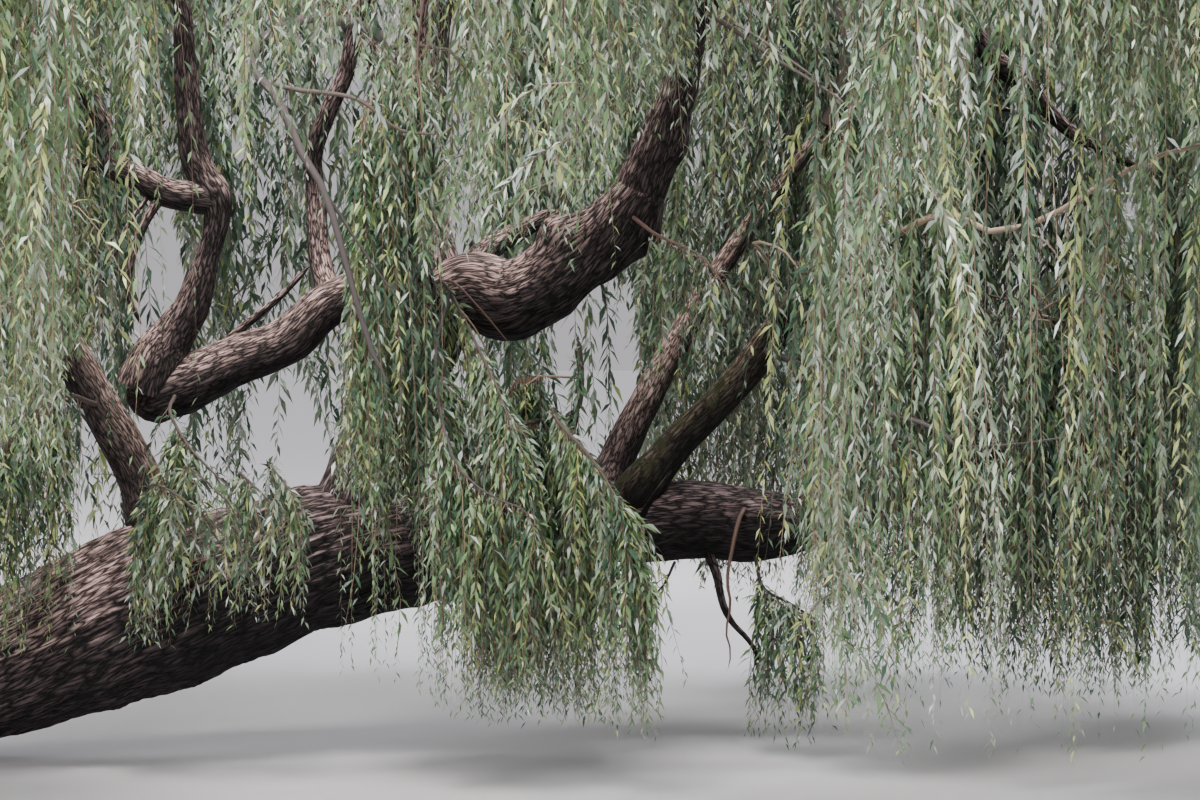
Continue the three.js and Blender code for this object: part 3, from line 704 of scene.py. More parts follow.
@dataclass
class Limb:
    """The trunk or one bough: a tapering limb with lumps, a collar where it leaves, and furrowed bark."""

    name: str
    bark: Bark
    way: tuple[Place, ...]
    radii: tuple[float, ...]
    parent: str = ""
    burls: tuple[Burl, ...] = ()
    stubs: tuple[Stub, ...] = ()
    facet: float = 0.028
    ring: float = 0.08
    least_sides: int = 10
    least_rings: int = 8
    collar: float = 0.3
    collar_length: float = 1.3
    lumpiness: float = 0.065
    lumps: tuple[tuple[float, float, int, float], ...] = ((0.35, 0.8, 7, 2.0), (0.13, 0.5, 9, 1.0))
    furrow_share: float = 0.07
    furrow_depth: Pair = (0.006, 0.036)
    furrow_width: Pair = (0.034, 0.068)
    widest_at: float = 0.6
    furrow_stretch: float = 8.0
    furrow_slant: float = 0.3
    bark_middle: float = 0.7
    roundness: float = 0.5
    end_rings: int = 5
    least_reach: float = 0.0015

    @property
    def line(self) -> Way:
        """The limb's middle line."""
        return Way.through(self.way)

    def samples(self) -> Array:
        """Places down the middle with the radius at each, as (count, 4)."""
        line = self.line
        count = math.ceil(line.length / LIMB_CHECK_SPACING)
        shares = np.linspace(0, 1, count + 1)
        return np.column_stack([line.at(shares), along(self.radii, shares)])

    def tube(self, line: Way, radii: tuple[float, ...], flare_at: float) -> tuple[Array, Array, Array, Array]:
        """The limb's surface with its bark.

        Args:
            line: The middle line.
            radii: Radii, evenly spaced along it.
            flare_at: How far along the limb leaves its parent.

        Returns:
            The vertices, the quads, how high each vertex lies on the bark, and its place in the grain.
        """
        rings = max(self.least_rings, round(line.length / self.ring))
        shares = np.linspace(0, 1, rings + 1)
        run = shares * line.length
        points = line.at(shares)
        reach = along(radii, shares)
        beyond = np.maximum(run - flare_at, 0) / np.maximum(self.collar_length * reach, TINY_LENGTH)
        reach = reach * (1 + self.collar * np.exp(-(beyond**2)))
        sides = max(self.least_sides, round(2 * math.pi * float(reach.mean()) / self.facet))
        headings, across, other = carried(points)
        angle = np.linspace(0, 2 * math.pi, sides, endpoint=False)
        outward = across[:, None] * np.cos(angle)[:, None] + other[:, None] * np.sin(angle)[:, None]
        points, reach = self._rounded_end(points, reach, headings)
        width = along(self.furrow_width, np.clip(reach / self.widest_at, 0, 1))
        deep = np.clip(self.furrow_share * reach, *self.furrow_depth)
        flat_out = outward.reshape(-1, 3)
        middles = np.repeat(points, sides, 0)
        lumps = 0
        for size, turn, salt, share in self.lumps:
            lumps = lumps + share * (Grain.soft(middles / size + flat_out * turn, salt) - 0.5)
        relief, grain = self._relief(run, angle, reach, width)
        height = np.repeat(reach, sides) * (1 + self.lumpiness * lumps)
        height = height + np.repeat(deep, sides) * (relief - self.bark_middle)
        vertices = middles + flat_out * height[:, None]
        for burl in self.burls:
            away = vertices - np.array(burl.place)
            nearness = np.exp(-(np.linalg.norm(away, axis=1) ** 2) / (2 * burl.width**2))
            vertices = vertices + flat_out * (burl.rise * nearness)[:, None]
        return vertices, grid_faces(rings + 1, sides), relief, grain

    def _rounded_end(self, points: Array, reach: Array, headings: Array) -> tuple[Array, Array]:
        """Draws the last rings in, so that the limb ends round."""
        count = self.end_rings
        turn = np.linspace(0, math.pi / 2, count)
        end, last = points[-count], reach[-count]
        points, reach = points.copy(), reach.copy()
        room = np.linalg.norm(points[-1] - end) + self.roundness * last
        points[-count:] = end + headings[-1] * (np.sin(turn) * room)[:, None]
        reach[-count:] = np.maximum(last * np.cos(turn), self.least_reach)
        return points, reach

    def _relief(self, run: Array, angle: Array, reach: Array, width: Array) -> tuple[Array, Array]:
        """The bark's height all over the limb, and each place in its grain.

        Args:
            run: Distance along the limb at each ring.
            angle: Angle round the limb at each side.
            reach: Radius at each ring.
            width: Furrow spacing at each ring.

        Returns:
            Heights from 0 in a furrow to 1 on a plate, and places in the grain, ring by ring.
        """
        rings, sides = len(run), len(angle)
        stretched = np.concatenate([[0.0], np.cumsum(np.diff(run) / (width[1:] * self.furrow_stretch))])
        ratio = (reach / width)[:, None]
        slanted = angle + self.furrow_slant * run[:, None]
        grid = np.empty((rings, sides, 3))
        grid[..., 0] = ratio * np.cos(slanted)
        grid[..., 1] = ratio * np.sin(slanted)
        grid[..., 2] = stretched[:, None]
        return Relief().at(grid.reshape(-1, 3), float(sum(map(ord, self.name)) % NAME_SALTS))

    def build(self, parents: dict[str, "Limb"], materials: dict[Bark, Material]) -> Object:
        """Makes the limb.

        Args:
            parents: Every limb, by name.
            materials: The bark materials.

        Returns:
            The dressed limb.
        """
        line = self.line
        flare_at = self._leaves_at(line, parents.get(self.parent))
        tubes = [self.tube(line, self.radii, flare_at)]
        tubes += [self.tube(Way.through(stub.way), stub.radii, 0.0) for stub in self.stubs]
        return self._finish(tubes, materials)

    def _leaves_at(self, line: Way, parent: "Limb | None") -> float:
        """How far along its line the limb comes out of its parent."""
        if parent is None:
            return NO_PARENT
        near = parent.samples()
        for share in np.linspace(0, *LEAVING_CHECKS):
            gap = np.linalg.norm(near[:, :3] - line.at(share), axis=1) - near[:, 3]
            if gap.min() > -LEAVING_DEPTH:
                return float(share * line.length)
        return 0.0

    def _finish(self, tubes: list[tuple], materials: dict[Bark, Material]) -> Object:
        """Joins tubes into the object that stands for the limb's node."""
        vertices, faces, relief, grain, first = [], [], [], [], 0
        for part_vertices, part_faces, part_relief, part_grain in tubes:
            vertices.append(part_vertices)
            faces.append(part_faces + first)
            relief.append(part_relief)
            grain.append(part_grain)
            first += len(part_vertices)
        mesh = mesh_of(self.name, np.vstack(vertices), np.vstack(faces))
        attribute = mesh.attributes.new("relief", "FLOAT", "POINT")
        attribute.data.foreach_set("value", np.concatenate(relief).astype(np.float32))
        attribute = mesh.attributes.new("grain", "FLOAT_VECTOR", "POINT")
        attribute.data.foreach_set("vector", np.vstack(grain).astype(np.float32).ravel())
        mesh.materials.append(materials[self.bark])
        made = place_object(f"{self.name}_bark", mesh)
        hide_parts(self.name)
        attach(made, "root")
        log.info("%s: %d faces", made.name, len(mesh.polygons))
        return made


@dataclass
class Trunk(Limb):
    """The leaning trunk with the buttress roots round its foot, cut flat at ground level."""

    root_facet: float = 0.035
    root_ring: float = 0.06

    def roots(self) -> list[Way]:
        """The middle lines of the buttress roots."""
        ways = []
        for index in range(ROOT_COUNT):
            turn = index / ROOT_COUNT * 2 * math.pi + ROOT_TURN_CHANGE * math.sin(ROOT_TURN_BEAT * index)
            reach = ROOT_REACH * (1 + ROOT_REACH_CHANGE * (math.cos(ROOT_REACH_BEAT * index) - 1))
            cos, sin = math.cos(turn), math.sin(turn)
            middle, out, height = ROOT_KNEE
            toe_middle, toe_share = ROOT_TOE
            ways.append(Way.through((
                ROOT_TOP,
                (middle + out * cos, out * sin, height),
                (toe_middle + toe_share * reach * cos, toe_share * reach * sin, 0.0),
                (reach * cos, reach * sin, ROOT_DEPTH),
            )))
        return ways

    def build(self, parents: dict[str, Limb], materials: dict[Bark, Material]) -> Object:
        """Makes the trunk and its roots, and cuts them at ground level."""
        tubes = [self.tube(self.line, self.radii, NO_PARENT)]
        self.facet, self.ring = self.root_facet, self.root_ring
        tubes += [self.tube(way, ROOT_RADII, NO_PARENT) for way in self.roots()]
        tubes = [self._above_ground(*tube) for tube in tubes]
        return self._finish(tubes, materials)

    def _above_ground(self, vertices: Array, faces: Array, *marks: Array) -> tuple[Array, ...]:
        """Drops what lies wholly below the ground, and sets the last vertices on it."""
        kept = faces[(vertices[faces, 2] > 0).any(axis=1)]
        used = np.unique(kept)
        number = np.full(len(vertices), -1)
        number[used] = np.arange(len(used))
        vertices = vertices[used].copy()
        vertices[:, 2] = np.maximum(vertices[:, 2], 0)
        return vertices, number[kept], *(mark[used] for mark in marks)


LIMBS: tuple[Limb, ...] = (
    Trunk("trunk", Bark.DARK, TRUNK_WAY, TRUNK_RADII, facet=0.015, ring=0.045, lumpiness=0.07,
        burls=(Burl((3.1, -0.1, 1.5), 0.13, 0.1), Burl((2.55, -0.2, 1.3), 0.16, 0.05))),
    Limb("lower_bough", Bark.DARK, ((3.3, 0.47, 1.25), (4.35, 0.56, 1.37), (4.98, 0.6, 1.44),
        (5.61, 0.6, 1.45), (6.05, 0.6, 1.42), (6.7, 0.62, 1.54), (7.5, 0.66, 1.9)), (0.41, 0.39, 0.33, 0.27,
        0.25, 0.24, 0.13, 0.09, 0.06), burls=(Burl((5.97, 0.45, 1.5), 0.1, 0.045), Burl((5.3, 0.4, 1.25),
        0.1, 0.04)), stubs=(Stub(((5.64, 0.5, 1.3), (5.71, 0.45, 1.12), (5.74, 0.4, 0.97),
        (5.79, 0.38, 0.85), (5.92, 0.35, 0.7), (6.02, 0.33, 0.52)), (0.036, 0.01)),
        Stub(((5.22, 0.35, 1.45), (5.3, 0.12, 1.62), (5.42, 0.02, 1.8)), (0.024, 0.014))), facet=0.015,
        ring=0.045),
    Limb("upper_stem", Bark.DARK, ((3.42, 0.52, 1.15), (3.6, 0.58, 1.85), (3.74, 0.65, 2.34),
        (3.92, 0.7, 2.8)), (0.36, 0.33, 0.29, 0.28, 0.27), burls=(Burl((3.27, 0.25, 1.62), 0.12, 0.09),),
        facet=0.016, ring=0.05),
    Limb("elbow_bough", Bark.DARK, ((3.86, 0.68, 2.72), (4.16, 0.6, 2.9), (4.41, 0.55, 2.85),
        (4.72, 0.5, 2.97), (5.04, 0.45, 3.25), (5.26, 0.42, 3.55)), (0.24, 0.23, 0.25, 0.24, 0.22, 0.2,
        0.17), burls=(Burl((4.33, 0.4, 2.72), 0.12, 0.05), Burl((4.7, 0.45, 3.3), 0.11, 0.15),
        Burl((4.92, 0.47, 2.86), 0.08, -0.07), Burl((4.5, 0.42, 2.66), 0.07, 0.04), Burl((5.32, 0.42, 3.2),
        0.09, 0.09)), stubs=(Stub(((3.92, 0.6, 2.86), (3.84, 0.52, 3.05), (3.75, 0.48, 3.24)),
        (0.045, 0.032)), Stub(((4.1, 0.65, 2.95), (4.24, 0.88, 3.14), (4.45, 1.08, 3.28),
        (4.69, 1.22, 3.4)), (0.1, 0.05))), facet=0.013, ring=0.04),
    Limb("elbow_riser", Bark.DARK, ((5.2, 0.43, 3.46), (5.36, 0.4, 3.85), (5.48, 0.38, 4.2),
        (5.6, 0.35, 4.73), (5.78, 0.3, 5.3)), (0.165, 0.14, 0.105, 0.095, 0.09), "",
        (Burl((5.5, 0.35, 3.78), 0.07, 0.04),), facet=0.013, ring=0.04, collar=0.0),
    Limb("crown_right_bough", Bark.DARK, ((5.76, 0.31, 5.22), (6.05, 0.25, 5.9), (6.5, 0.2, 6.6)),
        (0.08, 0.065, 0.05), collar=0.0),
    Limb("east_bough", Bark.DARK, ((5.66, 0.33, 4.98), (6.4, 0.4, 5.75), (7.6, 0.35, 5.95),
        (8.8, 0.15, 5.3)), (0.08, 0.075, 0.06, 0.05), "elbow_riser"),
    Limb("front_right_bough", Bark.DARK, ((5.58, 0.34, 4.6), (6.1, -0.45, 5.35), (6.7, -1.3, 5.7),
        (7.2, -2.0, 5.7)), (0.075, 0.07, 0.06, 0.05), "elbow_riser"),
    Limb("leader", Bark.DARK, ((3.84, 0.72, 2.55), (3.78, 1.0, 3.5), (3.85, 1.3, 4.6), (4.15, 1.45, 6.0),
        (4.45, 1.15, 7.4)), (0.25, 0.22, 0.19, 0.15, 0.12, 0.09, 0.06), "upper_stem"),
    Limb("left_bough", Bark.DARK, ((3.85, 0.66, 2.6), (3.56, 0.55, 2.86), (3.3, 0.48, 2.82),
        (3.02, 0.42, 2.58), (2.71, 0.4, 2.46), (2.45, 0.38, 2.35), (2.12, 0.35, 2.24)), (0.19, 0.17, 0.15,
        0.145, 0.15, 0.16, 0.19, 0.17), "upper_stem", (Burl((2.2, 0.25, 2.12), 0.09, 0.05),
        Burl((2.62, 0.3, 2.4), 0.08, 0.03)), stubs=(Stub(((2.5, 0.45, 2.45), (2.72, 0.62, 2.66),
        (2.96, 0.66, 2.86), (3.14, 0.66, 3.05)), (0.036, 0.016)), Stub(((3.3, 0.5, 2.8), (3.2, 0.72, 3.15),
        (3.17, 0.88, 3.5), (3.15, 0.9, 3.75), (3.25, 0.9, 4.05), (3.36, 0.95, 4.3), (3.42, 1.0, 4.6),
        (3.55, 1.05, 5.0)), (0.075, 0.045))), facet=0.014, ring=0.04),
    Limb("left_riser", Bark.DARK, ((2.16, 0.35, 2.28), (2.27, 0.34, 2.53), (2.43, 0.33, 2.78),
        (2.545, 0.32, 3.12), (2.61, 0.3, 3.42), (2.48, 0.3, 3.72), (2.43, 0.3, 4.1), (2.4, 0.3, 4.6)),
        (0.16, 0.14, 0.11, 0.075, 0.08, 0.1, 0.085, 0.07, 0.065), "left_bough", (Burl((2.6, 0.25, 3.5),
        0.08, 0.035),), facet=0.014, ring=0.04),
    Limb("crown_left_bough", Bark.DARK, ((2.41, 0.3, 4.52), (2.32, 0.32, 5.4), (2.42, 0.35, 6.3)),
        (0.058, 0.054, 0.045), collar=0.0),
    Limb("front_left_bough", Bark.DARK, ((2.36, 0.31, 4.95), (2.05, -0.6, 5.6), (1.8, -1.5, 5.85),
        (1.65, -2.2, 5.75)), (0.05, 0.05, 0.045, 0.04), "crown_left_bough"),
    Limb("left_side_branch", Bark.DARK, ((2.58, 0.3, 3.47), (2.29, 0.27, 3.51), (2.14, 0.25, 3.6),
        (1.96, 0.23, 3.7), (1.92, 0.22, 3.92), (1.74, 0.2, 4.25)), (0.085, 0.095, 0.085, 0.075, 0.055,
        0.045), "left_riser", (Burl((1.99, 0.2, 3.66), 0.05, 0.03),), (Stub(((2.26, 0.25, 3.48),
        (2.17, 0.18, 3.3), (2.1, 0.14, 3.1), (2.085, 0.1, 2.88), (2.16, 0.1, 2.7)), (0.036, 0.018)),
        Stub(((2.2, 0.25, 3.5), (2.08, 0.12, 3.3), (2.02, 0.07, 3.15), (1.96, 0.05, 3.0)), (0.02, 0.01)),
        Stub(((2.0, 0.23, 3.68), (1.86, 0.2, 3.66), (1.74, 0.18, 3.72), (1.7, 0.15, 3.9)), (0.03, 0.014))),
        facet=0.014, ring=0.04),
    Limb("far_left_bough", Bark.PALE, ((2.38, 0.3, 1.0), (2.11, 0.2, 1.8), (1.89, 0.14, 2.21),
        (1.7, 0.08, 2.56), (1.2, 0.0, 3.5), (0.3, -0.05, 4.7)), (0.15, 0.135, 0.125, 0.12, 0.1, 0.08, 0.06),
        "trunk", facet=0.018, ring=0.05),
    Limb("mossy_bough", Bark.MOSSY, ((5.02, 0.55, 1.42), (5.23, 0.48, 1.66), (5.48, 0.44, 1.96),
        (5.76, 0.36, 2.24), (5.99, 0.27, 2.53), (6.45, 0.0, 3.2), (6.85, -0.3, 3.75)), (0.115, 0.11, 0.105,
        0.1, 0.085, 0.065, 0.05), "lower_bough", facet=0.014, ring=0.04),
    Limb("far_side_bough", Bark.PALE, ((4.86, 0.7, 1.4), (5.08, 0.92, 1.8), (5.23, 1.1, 2.1),
        (5.75, 1.65, 3.0), (6.5, 2.15, 4.0)), (0.13, 0.11, 0.09, 0.075, 0.06, 0.05), "lower_bough",
        facet=0.016, ring=0.05),
    Limb("back_right_bough", Bark.DARK, ((4.0, 1.38, 5.2), (4.9, 1.85, 5.95), (6.1, 2.35, 6.2),
        (7.3, 2.95, 6.0)), (0.11, 0.1, 0.075, 0.05), "leader"),
    Limb("right_bough", Bark.DARK, ((6.5, 2.52, 6.17), (7.25, 2.5, 5.4), (7.62, 2.5, 4.56), (7.9, 2.5, 4.3),
        (8.22, 2.5, 3.98), (8.73, 2.45, 3.72)), (0.065, 0.065, 0.062, 0.06, 0.05, 0.04), "back_right_bough",
        (Burl((7.78, 2.5, 4.42), 0.25, 0.022),), (Stub(((7.58, 2.5, 4.6), (7.44, 2.42, 4.3),
        (7.52, 2.35, 4.15), (7.78, 2.3, 4.08)), (0.03, 0.013)),)),
    Limb("back_bough", Bark.DARK, ((3.86, 1.28, 4.6), (4.2, 2.4, 5.45), (4.85, 3.9, 5.8)),
        (0.095, 0.08, 0.05), "leader"),
    Limb("back_left_bough", Bark.DARK, ((3.8, 1.1, 4.0), (3.1, 1.85, 5.0), (2.4, 2.6, 5.7),
        (1.95, 3.1, 5.9)), (0.1, 0.085, 0.065, 0.05), "leader"),
    Limb("crown_front_bough", Bark.DARK, ((4.05, 1.42, 5.6), (4.3, 0.5, 6.55), (4.48, -0.8, 7.25)),
        (0.085, 0.07, 0.05), "leader"),
    Limb("front_bough", Bark.DARK, ((4.25, 0.75, 6.28), (4.42, -1.0, 6.5), (4.5, -3.0, 6.3)),
        (0.055, 0.055, 0.045), "crown_front_bough"),
    Limb("crown_back_bough", Bark.DARK, ((4.22, 1.4, 6.2), (4.5, 2.0, 6.85), (4.75, 2.5, 7.2)),
        (0.07, 0.06, 0.045), "leader"),
    Limb("fork_branch", Bark.DARK, ((3.92, 0.6, 2.72), (3.86, 0.1, 3.25), (3.78, -0.3, 3.65)),
        (0.06, 0.05, 0.035), "elbow_bough"),
    Limb("drape_branch", Bark.DARK, ((4.7, 0.55, 1.5), (4.78, 0.3, 1.98), (4.84, 0.0, 2.2)),
        (0.05, 0.042, 0.03), "lower_bough"),
)


@dataclass(frozen=True)
class Mass:
    """The space of one mass of foliage, on the tip of its bough."""

    name: str
    bough: str
    middle: Pair
    spread: Pair
    waist: float
    top: float
    hem: float
    sector: Sector
    crowd: float = 1.0

    def outwardness(self, places: Array) -> Array:
        """How far out places lie in the space: 0 at its heart, 1 at its edge."""
        across = ((places[..., 0] - self.middle[0]) / self.spread[0]) ** 2
        across = across + ((places[..., 1] - self.middle[1]) / self.spread[1]) ** 2
        up = np.maximum(places[..., 2] - self.waist, 0) / (self.top - self.waist)
        down = np.maximum(self.waist - places[..., 2], 0) / (self.waist - self.hem)
        return across + up**2 + down**HEM_SQUARENESS

    def inside(self, places: Array, margin: float = 0.07) -> Array:
        """True where places lie in the space and clear of its neighbours' spaces."""
        own = self.outwardness(places)
        held = own <= 1
        for other in MASSES:
            if other is not self:
                held &= own + margin < other.outwardness(places)
        return held

    def at(self, azimuth: float, out: float, height: float) -> Array:
        """A place at a share of the spread along a heading."""
        return np.array([
            self.middle[0] + self.spread[0] * out * math.cos(azimuth),
            self.middle[1] + self.spread[1] * out * math.sin(azimuth),
            height,
        ])


MASSES: tuple[Mass, ...] = (
    Mass("west_curtain", "far_left_bough", (-0.3, -0.1), (1.8, 2.0), 4.6, 6.9, 0.7, Sector.SIDES),
    Mass("front_left_curtain", "front_left_bough", (1.4, -2.9), (2.0, 1.9), 4.9, 7.5, 1.8,
        Sector.FRONT_LEFT, 1.1),
    Mass("front_curtain", "front_bough", (4.5, -3.7), (1.8, 1.8), 5.3, 7.9, 3.0, Sector.FRONT_LEFT, 1.1),
    Mass("front_right_curtain", "front_right_bough", (7.6, -3.0), (2.0, 2.0), 4.7, 7.3, 0.3,
        Sector.FRONT_RIGHT),
    Mass("east_curtain", "east_bough", (9.6, -0.1), (1.7, 2.0), 4.2, 6.6, 0.3, Sector.SIDES),
    Mass("back_right_curtain", "back_right_bough", (8.1, 3.6), (2.1, 1.9), 4.8, 7.4, 0.4, Sector.BACK),
    Mass("back_curtain", "back_bough", (4.9, 4.3), (1.8, 1.6), 5.0, 7.7, 0.8, Sector.BACK),
    Mass("back_left_curtain", "back_left_bough", (1.7, 3.5), (2.1, 1.9), 4.8, 7.4, 0.9, Sector.BACK),
    Mass("crown_left", "crown_left_bough", (2.4, 0.2), (2.0, 2.0), 6.6, 9.0, 5.2, Sector.CROWN),
    Mass("crown_top", "leader", (4.6, 0.9), (1.8, 1.8), 7.5, 10.3, 5.6, Sector.CROWN),
    Mass("crown_right", "crown_right_bough", (6.9, 0.1), (1.9, 2.0), 6.5, 9.1, 4.6, Sector.CROWN),
    Mass("crown_front", "crown_front_bough", (4.5, -1.6), (1.7, 1.5), 6.9, 9.4, 5.0, Sector.CROWN),
    Mass("crown_back", "crown_back_bough", (4.9, 2.8), (1.8, 1.4), 6.8, 9.2, 5.5, Sector.CROWN),
    Mass("fork_curtain", "fork_branch", (3.72, -0.75), (0.8, 0.65), 3.7, 4.6, 0.5, Sector.INNER_LEFT, 2.3),
    Mass("drape_curtain", "drape_branch", (4.85, -0.5), (0.8, 0.55), 2.2, 2.75, 0.4, Sector.INNER_LEFT,
        3.0),
    Mass("mossy_curtain", "mossy_bough", (7.1, -0.7), (1.1, 0.9), 3.7, 4.9, 0.5, Sector.INNER_RIGHT, 1.2),
    Mass("low_curtain", "lower_bough", (8.0, 0.8), (1.0, 0.9), 2.4, 3.4, 0.3, Sector.INNER_RIGHT, 1.7),
    Mass("right_curtain", "right_bough", (9.1, 2.1), (1.25, 1.15), 4.2, 5.7, 0.4, Sector.INNER_RIGHT),
    Mass("far_side_curtain", "far_side_bough", (6.3, 2.5), (1.25, 1.15), 4.3, 5.9, 0.7, Sector.INNER_RIGHT,
        1.2),
    Mass("left_side_curtain", "left_side_branch", (1.3, 0.1), (0.9, 1.0), 4.0, 5.3, 2.0, Sector.INNER_LEFT,
        1.6),
)


@dataclass(frozen=True)
class Shown:
    """A stretch of a limb that shows from the bank, from one share to another, with room beside it."""

    limb: str
    start: float
    stop: float
    margin: float


@dataclass(frozen=True)
class Gap:
    """A gap in the curtains, seen from the bank: its middle and half widths in the plane of the boughs.

    Strands nearer than the depth stay out of it. The usual depth takes in them all, so that the water
    beyond shows.
    """

    x: float
    z: float
    half_width: float
    half_height: float
    depth: float = 99.0

    @property
    def disc(self) -> tuple[float, ...]:
        """The gap as plain numbers."""
        return self.x, self.z, self.half_width, self.half_height, self.depth


@dataclass(frozen=True)
class SmallBranch:
    """A small bare branch that shows among the leaves, carried by a limb, a stem or another branch."""

    name: str
    way: tuple[Place, ...]
    radii: Pair
    wood: Wood
    shown: float | None = None
    shown_from: float = 0.0
    mass: str = ""
    strands: int = 0
    strands_from: float = 0.2
    hem: float = 1.0
    lean: float = 0.0

    @property
    def line(self) -> Way:
        """The branch's middle line."""
        return Way.through(self.way, 60)


